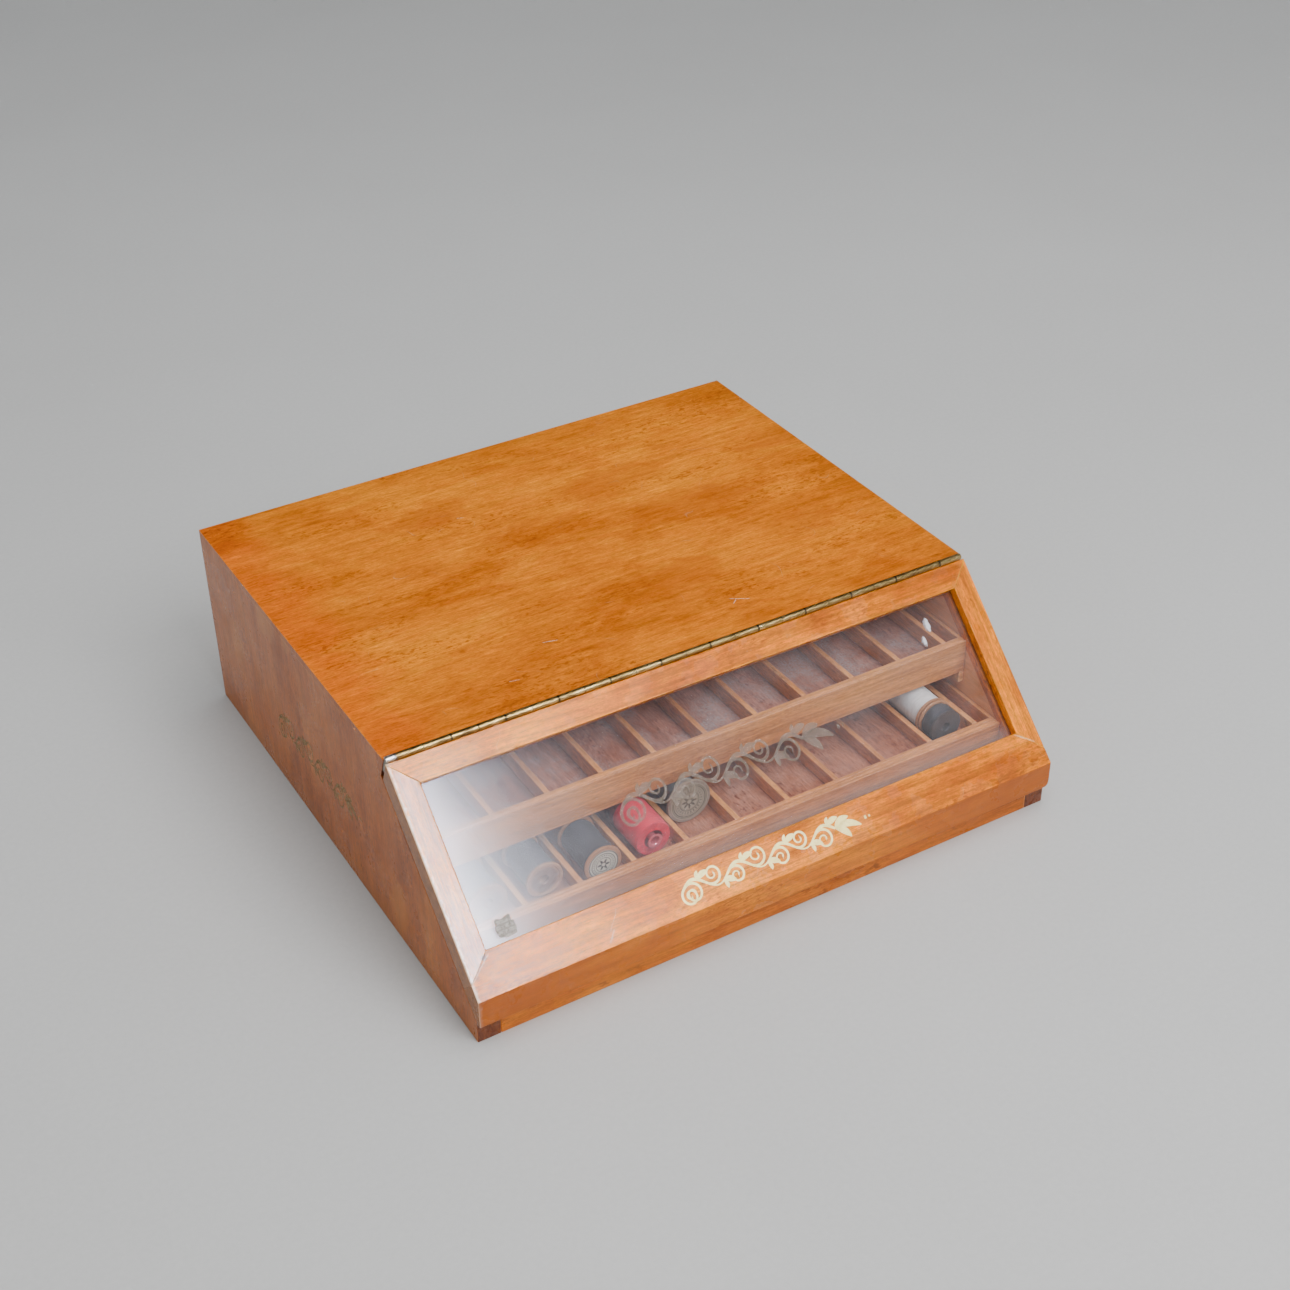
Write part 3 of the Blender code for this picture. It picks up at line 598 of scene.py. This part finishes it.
def turned_wood(name, tone, painted_front=False):
    """Bare turned wood: fine rings, end grain on the faces and handling marks."""
    paint = Paint(name)
    grain = paint.drawn((1, 0.08, 1), 900, 3, 0.6)
    soot = paint.noise(paint.place, 150, 3, 0.6)
    stops = [(0.0, varied(tone, (0.6, 0.5, 0.5))), (1.0, tone)]
    colour = paint.ramp(paint.span(grain, 0.3, 0.7), stops)
    colour = paint.shade(colour, paint.span(soot, 0.35, 0.7, 1.08, 0.7))
    colour = paint.mix(paint.times(paint.edge(0.6 * MM), 0.4), colour, PALE_WOOD)
    radius = paint.length(paint.scaled(paint.place, (1, 0, 1)))
    depth = paint.run(BACK)
    hollow = paint.times(
        paint.span(radius, 11 * MM, 10.4 * MM), paint.span(depth, 3 * MM, 2 * MM), 0.75,
    )
    colour = paint.mix(hollow, colour, (0.12, 0.045, 0.022))
    if painted_front:
        painted = paint.span(depth, 9 * MM, 8.5 * MM, 0, 0.95)
        colour = paint.mix(painted, colour, (0.03, 0.028, 0.03))
    return paint.finish(Base_Color=colour, Roughness=paint.span(soot, 0.3, 0.7, 0.45, 0.62),
                        Normal=paint.bump(grain, 0.12 * MM, 0.5))


def spool_plastic():
    """Clear moulded flange, a little scratched, that takes the thread's colour."""
    paint = Paint("spool_plastic")
    haze = paint.noise(paint.place, 240, 4, 0.7)
    colour = paint.ramp(haze, [(0.3, (0.62, 0.06, 0.10)), (0.7, (0.85, 0.20, 0.26))])
    paint.finish(Base_Color=colour, Roughness=paint.span(haze, 0.3, 0.7, 0.10, 0.3))
    radius = paint.length(paint.scaled(paint.place, (1, 0, 1)))
    hub = paint.span(radius, 6.4 * MM, 5.8 * MM, 0, 0.85)
    rim = paint.times(paint.edge(0.5 * MM), 0.25)
    film = paint.math("ADD", paint.span(haze, 0.3, 0.7, 0.03, 0.10), rim)
    paint.cover(paint.math("MAXIMUM", film, hub))
    return paint.material


def label_paper(name, ground, ink, petals, print_radius, rings):
    """A round printed paper: rings, a ring of dots and a flower, with soiled edges."""
    paint = Paint(name)
    x, z = paint.run(RIGHT), paint.run(UP)
    radius = paint.times(paint.length(paint.combine(x, z)), 1 / print_radius)
    angle = paint.math("ARCTAN2", z, x)
    lobe = paint.math("COSINE", paint.times(angle, petals))
    lobe = paint.math("MULTIPLY_ADD", lobe, 0.13, 0.30)
    petal = paint.span(paint.math("SUBTRACT", radius, lobe), 0.03, -0.03)
    core = paint.span(radius, 0.14, 0.10)
    printed = paint.math("MAXIMUM", paint.math("SUBTRACT", petal, core), 0.0)
    beads = paint.span(paint.math("COSINE", paint.times(angle, 26)), 0.1, 0.5)
    beads = paint.times(beads, paint.span(paint.apart(radius, 0.66), 0.07, 0.05))
    lines = [paint.span(paint.apart(radius, ring), thick, 0.6 * thick) for ring, thick in rings]
    for layer in (*lines, beads):
        printed = paint.math("MAXIMUM", printed, layer)
    faded = paint.span(paint.noise(paint.place, 500, 4, 0.8), 0.30, 0.50, 0.55, 0.98)
    soil = paint.span(paint.noise(paint.place, 180, 4, 0.7), 0.3, 0.7, 0.78, 1.05)
    colour = paint.mix(paint.times(printed, faded), paint.shade(ground, soil), ink)
    normal = paint.bump(paint.noise(paint.place, 900, 3), 0.05 * MM, 0.4)
    return paint.finish(Base_Color=colour, Roughness=0.62, Normal=normal)


def worn_gilt(name, ground, cover, fade, metal=0.25):
    """Transferred metal leaf that flakes off in specks."""
    paint = Paint(name)
    flakes = paint.noise(paint.place, 420, 4, 0.75)
    colour = paint.ramp(flakes, [(0.3, varied(ground, (0.82, 0.78, 0.6))), (0.7, ground)])
    rough = paint.span(flakes, 0.3, 0.7, 0.62, 0.62 - metal)
    paint.finish(Base_Color=colour, Metallic=metal, Roughness=rough)
    paint.cover(paint.span(flakes, fade, fade + 0.10, 0.25 * cover, cover))
    return paint.material


def torn_paper():
    """The rest of a paper sticker: grey, crumpled, with faded stripes."""
    paint = Paint("torn_paper")
    creases = paint.noise(paint.place, 420, 4, 0.75, 1.0)
    stripes = paint.math("SINE", paint.times(paint.run(UP_SLOPE), 2 * math.pi / (3.6 * MM)))
    colour = paint.ramp(creases, [(0.38, (0.12, 0.10, 0.08)), (0.55, (0.46, 0.43, 0.38))])
    printed = paint.times(paint.span(stripes, 0.4, 0.7), paint.span(creases, 0.42, 0.55), 0.6)
    colour = paint.mix(printed, colour, (0.08, 0.07, 0.07))
    normal = paint.bump(creases, 0.4 * MM, 0.8)
    return paint.finish(Base_Color=colour, Roughness=0.6, Normal=normal)


# ---------------------------------------------------------------- shapes


def new_object(name, bm, material, smooth_angle=35):
    bmesh.ops.recalc_face_normals(bm, faces=bm.faces)
    mesh = bpy.data.meshes.new(name)
    bm.to_mesh(mesh)
    bm.free()
    obj = bpy.data.objects.new(name, mesh)
    bpy.context.scene.collection.objects.link(obj)
    mesh.materials.append(material)
    mesh.shade_smooth()
    mesh.set_sharp_from_angle(angle=math.radians(smooth_angle))
    even = obj.modifiers.new("even_shading", "WEIGHTED_NORMAL")
    even.weight = 100
    even.keep_sharp = True
    return obj


def bridge(bm, first, second):
    """Quads between two closed rows of vertices."""
    for index in range(len(first)):
        after = (index + 1) % len(first)
        bm.faces.new((first[index], first[after], second[after], second[index]))


def slab(bm, lower_points, upper_points):
    """A thin closed body between two matching outlines."""
    lower = [bm.verts.new(point) for point in lower_points]
    upper = [bm.verts.new(point) for point in upper_points]
    bm.faces.new(upper)
    bm.faces.new(lower[::-1])
    bridge(bm, lower, upper)


def put_on(obj, node, replace=True):
    """Makes a piece ride with a CAD node's body, and stand for the node if it replaces it."""
    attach(obj, frame["nodes"][node]["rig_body"])
    if replace:
        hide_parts(node)
    return obj


def clean_copy(node):
    """A CAD node's solid with its flat faces whole again."""
    bm = bmesh.new()
    bm.from_mesh(frame["nodes"][node].data)
    bmesh.ops.remove_doubles(bm, verts=bm.verts, dist=0.00001)
    bmesh.ops.dissolve_limit(bm, angle_limit=math.radians(1), verts=bm.verts, edges=bm.edges)
    return bm


def is_mitre(face):
    return 0.3 < abs(face.normal.x) < 0.95


def dress(node, material, width=0.5 * MM, segments=3, shut=None):
    """The CAD board with its arrises rounded, except at its mitres, which can be pushed shut."""
    bm = clean_copy(node)
    if shut is not None:
        for face in filter(is_mitre, bm.faces):
            way = 1 if face.normal.dot(shut) > 0 else -1
            for vert in face.verts:
                vert.co += way * 0.12 * MM * shut
    edges = [
        edge for edge in bm.edges
        if len(edge.link_faces) == 2 and edge.calc_face_angle(0) > math.radians(25)
        and not any(is_mitre(face) for face in edge.link_faces)
    ]
    bmesh.ops.bevel(
        bm, geom=edges, offset=width, segments=segments, profile=0.5, affect="EDGES",
        clamp_overlap=True,
    )
    return put_on(new_object(node + "_board", bm, material), node)


def revolve(bm, profile, place, axis, across, steps, radius_of=None):
    """Turns a closed (radius, run) profile round the axis through place."""
    third = axis.cross(across)
    rings = []
    for radius, run in profile:
        ring = []
        for step in range(steps):
            angle = 2 * math.pi * step / steps
            r = radius_of(radius, run, angle) if radius_of else radius
            way = math.cos(angle) * across + math.sin(angle) * third
            ring.append(bm.verts.new(place + run * axis + r * way))
        rings.append(ring)
    for first, second in zip(rings, rings[1:] + rings[:1]):
        bridge(bm, first, second)


def knuckle_spans(node):
    """The stretches of x that a leaf's knuckles take, read from the end faces round the pin."""
    ends = set()
    for face in frame["nodes"][node].data.polygons:
        reach = math.hypot(face.center.y - HINGE_AXIS.y, face.center.z - HINGE_AXIS.z)
        if abs(face.normal.x) > 0.99 and reach < BARREL_RADIUS:
            ends.add(round(face.center.x, 5))
    ends = sorted(ends)
    return list(zip(ends[0::2], ends[1::2]))


def make_leaf(node, brass, screw):
    """A hinge leaf with truly round knuckles, and the heads of the screws that hold it."""
    bm = clean_copy(node)
    ease = 0.25 * MM
    lap = 0.04 * MM
    outer = BARREL_RADIUS + 0.03 * MM
    for start, end in knuckle_spans(node):
        low, high = start - lap, end + lap
        profile = [
            (BORE_RADIUS, low), (outer - ease, low), (outer, low + ease),
            (outer, high - ease), (outer - ease, high), (BORE_RADIUS, high),
        ]
        revolve(bm, profile, Vector((0, HINGE_AXIS.y, HINGE_AXIS.z)), RIGHT, BACK, 40)
    strip = put_on(new_object(node + "_strip", bm, brass), node)
    wide = [face for face in strip.data.polygons if abs(face.normal.x) < 0.1 and face.area > 0.002]
    bare = min(wide, key=lambda face: abs((face.center - HINGE_AXIS).dot(face.normal)))
    down = RIGHT.cross(bare.normal)
    runs = [strip.data.vertices[index].co.dot(down) for index in bare.vertices]
    centre = bare.center + ((min(runs) + max(runs)) / 2 - bare.center.dot(down)) * down
    heads = bmesh.new()
    for index in range(SCREWS_PER_LEAF):
        middle = Vector((LEFT_X + (30 + index * 55) * MM, centre.y, centre.z))
        for side in (-1, 1):
            half_disc(heads, middle, bare.normal, down, side, index)
    put_on(new_object(node + "_screw_heads", heads, screw), node, False)


def half_disc(bm, middle, out, down, side, turn):
    """Half of a slotted screw head: a low disc with a flat along the slot."""
    steps = 14
    way = Matrix.Rotation(0.7 * turn, 3, out) @ down
    along = out.cross(way)
    first = math.asin(0.35 * MM / SCREW_RADIUS)
    outline = []
    for step in range(steps + 1):
        angle = first + (math.pi - 2 * first) * step / steps
        reach = math.cos(angle) * along + side * math.sin(angle) * way
        outline.append(middle + SCREW_RADIUS * reach)
    slab(bm, *([point + lift * MM * out for point in outline] for lift in (-0.3, 0.1)))


# ---------------------------------------------------------------- decorations


def curl(x, y, radius, heading, turns, sense, width):
    """A spiral tendril that starts at a point and tightens."""
    points = []
    steps = int(36 * turns)
    centre = Vector((x, y)) + radius * Vector((-math.sin(heading), math.cos(heading))) * sense
    for step in range(steps + 1):
        t = step / steps
        angle = heading - sense * math.pi / 2 + sense * 2 * math.pi * turns * t
        reach = radius * (1 - 0.82 * t)
        points.append((
            centre.x + reach * math.cos(angle),
            centre.y + reach * math.sin(angle),
            width * (1 - 0.55 * t),
        ))
    x, y, _ = points[-1]
    points.append((x, y, 2.2 * width))
    return points


def leaf_stroke(x, y, heading, length, width):
    """A pointed leaf."""
    points = []
    for step in range(15):
        t = step / 14
        bend = 0.12 * length * math.sin(math.pi * t)
        points.append((
            x + length * t * math.cos(heading) - bend * math.sin(heading),
            y + length * t * math.sin(heading) + bend * math.cos(heading),
            width * math.sin(math.pi * t) ** 0.8 + 0.001,
        ))
    return points


def sprig():
    """Strokes of a scroll in a field 1 long and 0.16 high: a wavy stem, tendrils and leaves."""
    phase = 2 * math.pi * 3.5
    reach, swing = 0.76, 0.030

    def stem_at(t):
        return 0.05 + reach * t, 0.078 + swing * math.sin(phase * t)

    def heading_at(t):
        return math.atan2(phase * swing * math.cos(phase * t), reach)

    runs = [step / 160 for step in range(161)]
    stem = [(*stem_at(t), 0.0075 + 0.003 * math.sin(phase * t)) for t in runs]
    strokes = [stem, curl(*stem_at(0), 0.040, heading_at(0) + math.pi, 1.5, 1, 0.008)]
    for index in range(7):
        t = (index + 0.12) / 7
        sense = 1 if index % 2 else -1
        size = 0.046 - 0.003 * (index % 3)
        strokes.append(curl(*stem_at(t), size, heading_at(t), 1.45, sense, 0.0085))
        t = (index + 0.75) / 7
        strokes.append(leaf_stroke(*stem_at(t), heading_at(t) - sense * 0.9, 0.060, 0.018))
        strokes.append(leaf_stroke(*stem_at(t), heading_at(t) - sense * 1.9, 0.038, 0.012))
    x, y = stem_at(1)
    for turn, length in ((0.0, 0.13), (0.55, 0.085), (-0.55, 0.085)):
        strokes.append(leaf_stroke(x, y, heading_at(1) * 0.3 + turn, length, 0.022))
    strokes.append([(x + 0.150, y - 0.004, 0.011), (x + 0.161, y - 0.004, 0.011)])
    strokes.append([(x + 0.172, y - 0.004, 0.007), (x + 0.180, y - 0.004, 0.007)])
    return strokes


def ribbon(bm, points, lay, thick):
    """A flat band of changing width. lay turns a field point and a lift into a place."""
    sections = []
    for index, (x, y, width) in enumerate(points):
        before = points[max(0, index - 1)]
        after = points[min(len(points) - 1, index + 1)]
        way = Vector((after[0] - before[0], after[1] - before[1]))
        way = way.normalized() if way.length > 1e-9 else Vector((1, 0))
        aside = Vector((-way.y, way.x)) * width / 2
        corners = ((1, 0), (-1, 0), (-1, thick), (1, thick))
        places = [lay(x + k * aside.x, y + k * aside.y, lift) for k, lift in corners]
        sections.append([bm.verts.new(place) for place in places])
    for first, second in zip(sections, sections[1:]):
        bridge(bm, first, second)
    bm.faces.new(sections[0][::-1])
    bm.faces.new(sections[-1])


def make_emblem(name, node, lay, material, width_factor):
    bm = bmesh.new()
    for stroke in sprig():
        ribbon(bm, [(x, y, width * width_factor) for x, y, width in stroke], lay, 0.04)
    put_on(new_object(name, bm, material, 60), node, False)


def lay_on_lid(x_start, length, s_start, height_factor, out):
    """Field points onto the lid's plane, all in millimetres."""
    def lay(u, v, lift):
        return lid_place(x_start + u * length, s_start + v * length * height_factor, out + lift)
    return lay


def lay_on_side(u, v, lift):
    """Field points onto the left side, where the field climbs a little towards the front."""
    return case_place(-lift - DECAL_LIFT, 347 - u * 172, 44 + v * 172 * 1.4 + 10 * u)


def make_emblems():
    on_pane = DECAL_LIFT - PANE_DEPTH / MM
    gold = worn_gilt("emblem_gold", GOLD, 1.0, 0.22)
    etched = worn_gilt("emblem_etched", (0.22, 0.170, 0.138), 0.36, 0.30, 0.0)
    faded = worn_gilt("emblem_faded", (0.44, 0.34, 0.16), 0.60, 0.46, 0.1)
    for name, node, lay, look, width in (
        ("nose_emblem", "lid_bottom_rail", lay_on_lid(161, 174, 3.5, 1.0, DECAL_LIFT), gold, 1.35),
        ("pane_emblem", "lid_pane", lay_on_lid(143, 206, 70, 1.1, on_pane), etched, 1.4),
        ("side_emblem", "left_side_panel", lay_on_side, faded, 1.2),
    ):
        make_emblem(name, node, lay, look, width)


def make_sticker():
    """The torn rest of a square sticker in the pane's corner."""
    chance = random.Random(4)
    steps, half = 44, 7.6
    outline = []
    for step in range(steps):
        angle = 2 * math.pi * step / steps
        reach = (abs(math.cos(angle)) ** 4 + abs(math.sin(angle)) ** 4) ** -0.25
        torn = math.sin(angle) >= 0.3
        reach *= half * (chance.uniform(0.70, 1.05) if torn else chance.uniform(0.93, 1.02))
        outline.append((40.5 + reach * math.cos(angle), 41.5 + reach * math.sin(angle)))
    bm = bmesh.new()
    lift = DECAL_LIFT - PANE_DEPTH / MM
    slab(bm, *([lid_place(x, s, out) for x, s in outline] for out in (lift, lift + 0.12)))
    put_on(new_object("torn_sticker", bm, torn_paper()), "lid_pane", False)


# ---------------------------------------------------------------- pieces


def make_case():
    top = wood("veneer_top", RIGHT, BACK, TOP_TONE, 0.4, 1.02, 0.5, age_top)
    left = wood("veneer_left", UP, BACK, SIDE_TONE, 0.5, 1.1, 0.6, age_side(-1))
    right = wood("veneer_right", UP, BACK, SIDE_TONE, 0.5, 1.1, 0.6, age_side(1))
    front = wood("pale_front_wood", RIGHT, UP, FRONT_TONE, 0.5, 1.0, 0.4, age_front, 0.7)
    dress("top_panel", top, shut=RIGHT)
    dress("left_side_panel", left, shut=UP)
    dress("right_side_panel", right, shut=UP)
    dress("front_board", front)
    plain = wood("inner_wood", RIGHT, BACK, INNER_LIT_TONE, 0.1, 0.8, 0.3)
    for node in ("bottom_panel", "back_panel", "upper_ledge_left", "upper_ledge_right"):
        dress(node, plain)


def make_lid():
    rail = wood("rail_wood", RIGHT, UP_SLOPE, LID_TONE, 0.58, 1.4, 0.8, age_lid, 1.1)
    left = wood("left_stile_wood", UP_SLOPE, RIGHT, LID_TONE, 0.84, 1.6, 0.9, age_lid, 1.2)
    right = wood("right_stile_wood", UP_SLOPE, RIGHT, LID_TONE, 0.50, 1.4, 0.9, age_lid, 1.0)
    dress("lid_top_rail", rail, 0.6 * MM)
    dress("lid_bottom_rail", rail, 1.2 * MM, 4)
    dress("lid_left_stile", left, 1.4 * MM, 4)
    dress("lid_right_stile", right, 0.9 * MM)
    dress("lid_pane", pane_glass(), 0.3 * MM, 2)


def make_trays():
    board = wood("tray_board_wood", RIGHT, UP, TRAY_TONE, 0.2, 0.7, 0.6, age_tray_front, 0.6)
    end = wood("tray_end_wood", BACK, UP, TRAY_TONE, 0.2, 0.8, 0.4)
    dusty_floor = wood("upper_floor_wood", BACK, RIGHT, FLOOR_TONE, 0.1, 1.2, 0.2, lint_on_floor)
    lower_tone = varied(FLOOR_TONE, (0.95, 0.88, 0.75))
    worn_floor = wood("lower_floor_wood", BACK, RIGHT, lower_tone, 0.2, 1.3, 0.2)
    divider = wood("divider_wood", BACK, UP, DIVIDER_TONE, 0.25, 0.9, 0.6)
    for tray, floor in (("lower", worn_floor), ("upper", dusty_floor)):
        for piece in ("front", "rear"):
            dress(f"{tray}_tray_{piece}", board, 0.35 * MM, 2)
        dress(tray + "_tray_floor", floor)
        for side in ("left", "right"):
            dress(f"{tray}_tray_{side}_end", end)
        for index in range(1, 11):
            dress(f"{tray}_divider_{index:02d}", divider, 0.8 * MM)


def make_hinge():
    brass = old_brass()
    screw = screw_brass()
    make_leaf("hinge_lid_leaf", brass, screw)
    make_leaf("hinge_cabinet_leaf", brass, screw)
    dress("hinge_pin", pin_steel(), 0.1 * MM, 1)


def spool_sizes(name):
    """Front middle, length, front and rear flange radius of a spool, from its CAD core."""
    low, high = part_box(name + "_core")
    middle = (low + high) / 2
    front_radius = rear_radius = 0.0
    for vert in frame["nodes"][name + "_core"].data.vertices:
        reach = math.hypot(vert.co.x - middle.x, vert.co.z - middle.z)
        if vert.co.y - low.y < 1 * MM:
            front_radius = max(front_radius, reach)
        if high.y - vert.co.y < 1 * MM:
            rear_radius = max(rear_radius, reach)
    return Vector((middle.x, low.y, middle.z)), high.y - low.y, front_radius, rear_radius


def make_core(name, look, start, end, neck, ridged, sunk):
    """A turned core with eased flanges. sunk is the depth of the dish in its front face."""
    front, length, front_radius, rear_radius = spool_sizes(name)
    ease = 0.7 * MM
    gap = 0.2 * MM
    inner, rear = start - gap, end + gap
    profile = [
        (front_radius - ease, 0), (front_radius - 0.3 * ease, 0.3 * ease), (front_radius, ease),
        (front_radius, inner - ease), (front_radius - ease, inner), (neck, inner),
        (neck, rear), (rear_radius - ease, rear), (rear_radius, rear + ease),
        (rear_radius, length - ease), (rear_radius - ease, length), (SPOOL_BORE + ease, length),
        (SPOOL_BORE, length - ease), (SPOOL_BORE, sunk + ease), (SPOOL_BORE + ease, sunk),
        (front_radius - 4.4 * ease, sunk), (front_radius - 3.2 * ease, 0),
    ]

    def ridge(radius, run, angle):
        if not ridged or radius < front_radius - ease or run > inner:
            return radius
        return radius - 0.35 * MM * (0.5 - 0.5 * math.cos(54 * angle))

    bm = bmesh.new()
    revolve(bm, profile, Vector((0, 0, 0)), BACK, RIGHT, 216 if ridged else 108, ridge)
    core = new_object(name + "_turned", bm, look)
    core.location = front
    put_on(core, name + "_core")


def make_winding(name, look, start, end, neck, radius):
    """A winding with rounded shoulders, drawn a little uneven."""
    front, length, _, _ = spool_sizes(name)
    shoulder = 2.2 * MM
    steps = 28
    straight = end - start - 2 * shoulder
    profile = [
        (neck + 0.3 * MM, start), (radius - 0.9 * MM, start),
        *((radius, start + shoulder + straight * step / steps) for step in range(steps + 1)),
        (radius - 0.9 * MM, end), (neck + 0.3 * MM, end),
    ]
    chance = random.Random(name)
    drift = [chance.uniform(-1, 1) for _ in range(6)]

    def slack(reach, run, angle):
        if reach < radius - 0.5 * MM:
            return reach
        waves = sum(
            height * math.sin((k + 1) * math.pi * run / length + angle * (k % 2))
            for k, height in enumerate(drift)
        )
        return reach - 0.12 * MM * (1 + waves / 3)

    bm = bmesh.new()
    revolve(bm, profile, Vector((0, 0, 0)), BACK, RIGHT, 96, slack)
    winding = new_object(name + "_winding", bm, look, 60)
    winding.location = front
    put_on(winding, name + "_thread")


def make_spool(name, wood_look, thread_look, ridged=False, sunk=0.0):
    """A spool: its core, and its winding between the flanges."""
    front, _, front_radius, _ = spool_sizes(name)
    low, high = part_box(name + "_thread")
    wound_radius = (high.z - low.z) / 2
    start, end = low.y - front.y, high.y - front.y
    neck = min(front_radius, wound_radius) * 0.5
    make_core(name, wood_look, start, end, neck, ridged, sunk)
    make_winding(name, thread_look, start, end, neck, wound_radius)


def make_label(name, spool, radius, material):
    """A thin round paper on a spool's front face."""
    thick = 0.14 * MM
    ease = 0.05 * MM
    profile = [
        (ease, -thick), (radius - ease, -thick), (radius, 0.8 * ease - thick), (radius, 0),
        (ease, 0),
    ]
    bm = bmesh.new()
    revolve(bm, profile, Vector((0, 0, 0)), BACK, RIGHT, 72)
    disc = new_object(name, bm, material)
    disc.location = spool_sizes(spool)[0] - 0.02 * MM * BACK
    put_on(disc, spool + "_core", False)


def make_spools():
    bare = turned_wood("spool_wood", BARE_TONE)
    dipped = turned_wood("spool_wood_dipped", BARE_TONE, True)
    grey_pulp = turned_wood("spool_pulp", (0.40, 0.33, 0.26))
    black = thread("thread_black", (0.016, 0.018, 0.026), 0.10)
    red = thread("thread_red", (0.98, 0.006, 0.060), 0.12)
    make_spool("spool_01", bare, black)
    make_spool("spool_02", bare, black, True, 1.0 * MM)
    make_spool("spool_03", bare, black)
    make_spool("spool_04", spool_plastic(), red)
    make_spool("spool_05", grey_pulp, thread("thread_grey", (0.16, 0.16, 0.17)))
    make_spool("spool_10_front", dipped, black)
    make_spool("spool_10_rear", bare, thread("thread_white", (0.97, 0.97, 0.99)))
    plain_rings = ((0.97, 0.045), (0.80, 0.035), (0.50, 0.03))
    plain = label_paper(
        "paper_ring", (0.62, 0.60, 0.50), (0.012, 0.012, 0.012), 6, 12.0 * MM, plain_rings,
    )
    fancy_rings = ((0.96, 0.02), (0.88, 0.035), (0.78, 0.015), (0.54, 0.03), (0.47, 0.012))
    ornate = label_paper(
        "paper_ornate", (0.44, 0.37, 0.27), (0.050, 0.036, 0.022), 8, 15.5 * MM, fancy_rings,
    )
    make_label("spool_03_label", "spool_03", 12.2 * MM, plain)
    make_label("spool_05_label", "spool_05", 16.0 * MM, ornate)


# ---------------------------------------------------------------- stage


def make_floor():
    place = (0, 0, -0.1 * MM)
    bpy.ops.mesh.primitive_grid_add(x_subdivisions=2, y_subdivisions=2, size=400, location=place)
    floor = bpy.context.object
    floor.name = "floor"
    paint = Paint("pale_floor")
    tone = paint.noise(paint.place, 1.2, 4, 0.6)
    fine = paint.noise(paint.place, 220, 3, 0.6)
    colour = paint.ramp(tone, [(0.3, (0.445, 0.443, 0.435)), (0.7, (0.475, 0.475, 0.468))])
    colour = paint.shade(colour, paint.span(fine, 0.3, 0.7, 0.97, 1.02))
    floor.data.materials.append(paint.finish(Base_Color=colour, Roughness=0.6))


def make_world():
    """Soft grey room, dimmer in the varnish, and level with the far floor where it is seen."""
    world = bpy.data.worlds.new("studio")
    world.use_nodes = True
    tree = world.node_tree
    background = tree.nodes["Background"]
    background.inputs["Color"].default_value = (0.94, 0.97, 1.0, 1)
    path = tree.nodes.new("ShaderNodeLightPath")
    dim, seen = (tree.nodes.new("ShaderNodeMapRange") for _ in range(2))
    dim.inputs["To Min"].default_value = 0.55
    for choice, ray, strength in ((dim, "Is Glossy Ray", 0.05), (seen, "Is Camera Ray", 0.20)):
        tree.links.new(path.outputs[ray], choice.inputs["Value"])
        choice.inputs["To Max"].default_value = strength
    tree.links.new(dim.outputs[0], seen.inputs["To Min"])
    tree.links.new(seen.outputs[0], background.inputs["Strength"])
    bpy.context.scene.world = world


def make_light(name, place, size, power):
    """A wide lamp that looks at the origin and doesn't mirror in the varnish."""
    light = bpy.data.lights.new(name, "AREA")
    light.shape = "RECTANGLE"
    light.size, light.size_y = size
    light.energy = power
    obj = bpy.data.objects.new(name, light)
    bpy.context.scene.collection.objects.link(obj)
    obj.location = place
    obj.rotation_euler = (-Vector(place)).to_track_quat("-Z", "Y").to_euler()
    obj.visible_glossy = False


def make_softbox():
    """A bright panel over the front that only mirrors in varnish and pane, fading to the right."""
    middle = Vector((0.64, -1.85, 1.93))
    rise = Vector((0, 0.72, 0.70)).normalized()
    bm = bmesh.new()
    corners = [(-1, -1), (1, -1), (1, 1), (-1, 1)]
    bm.faces.new([bm.verts.new(middle + 0.42 * i * RIGHT + 0.8 * j * rise) for i, j in corners])
    box = new_object("softbox", bm, None)
    box.data.materials.clear()
    paint = Paint("softbox")
    glow = paint.add("ShaderNodeEmission")
    run = paint.span(paint.dot(paint.place, RIGHT), 0.46, 1.06, 0, 0.60)
    fade = paint.math("EXPONENT", paint.math("MULTIPLY", run, -12.0))
    high = paint.span(paint.dot(paint.place, UP), 1.70, 2.15, 1.0, 0.35)
    paint.feed(glow.inputs["Strength"], paint.times(fade, high, 160.0))
    glow.inputs["Color"].default_value = (0.86, 0.87, 1.0, 1)
    paint.surface(glow.outputs[0])
    box.data.materials.append(paint.material)
    for way in ("camera", "diffuse", "shadow", "transmission", "volume_scatter"):
        setattr(box, "visible_" + way, False)


def make_camera():
    camera = bpy.data.objects.new("camera", bpy.data.cameras.new("camera"))
    bpy.context.scene.collection.objects.link(camera)
    camera.data.lens = CAMERA_LENS
    camera.data.clip_start = 0.01
    camera.data.clip_end = 200
    up = CAMERA_RIGHT.cross(CAMERA_FORWARD)
    turn = Matrix((CAMERA_RIGHT, up, -CAMERA_FORWARD)).transposed()
    camera.matrix_world = Matrix.Translation(CAMERA_PLACE) @ turn.to_4x4()
    bpy.context.scene.camera = camera


make_case()
make_lid()
make_trays()
make_hinge()
make_spools()
make_emblems()
make_sticker()
make_floor()
make_world()
make_light("overhead", (0.20, -0.35, 2.6), (2.4, 2.0), 54)
make_light("front_key", (0.45, -2.2, 2.3), (1.9, 1.5), 84)
make_softbox()
make_camera()
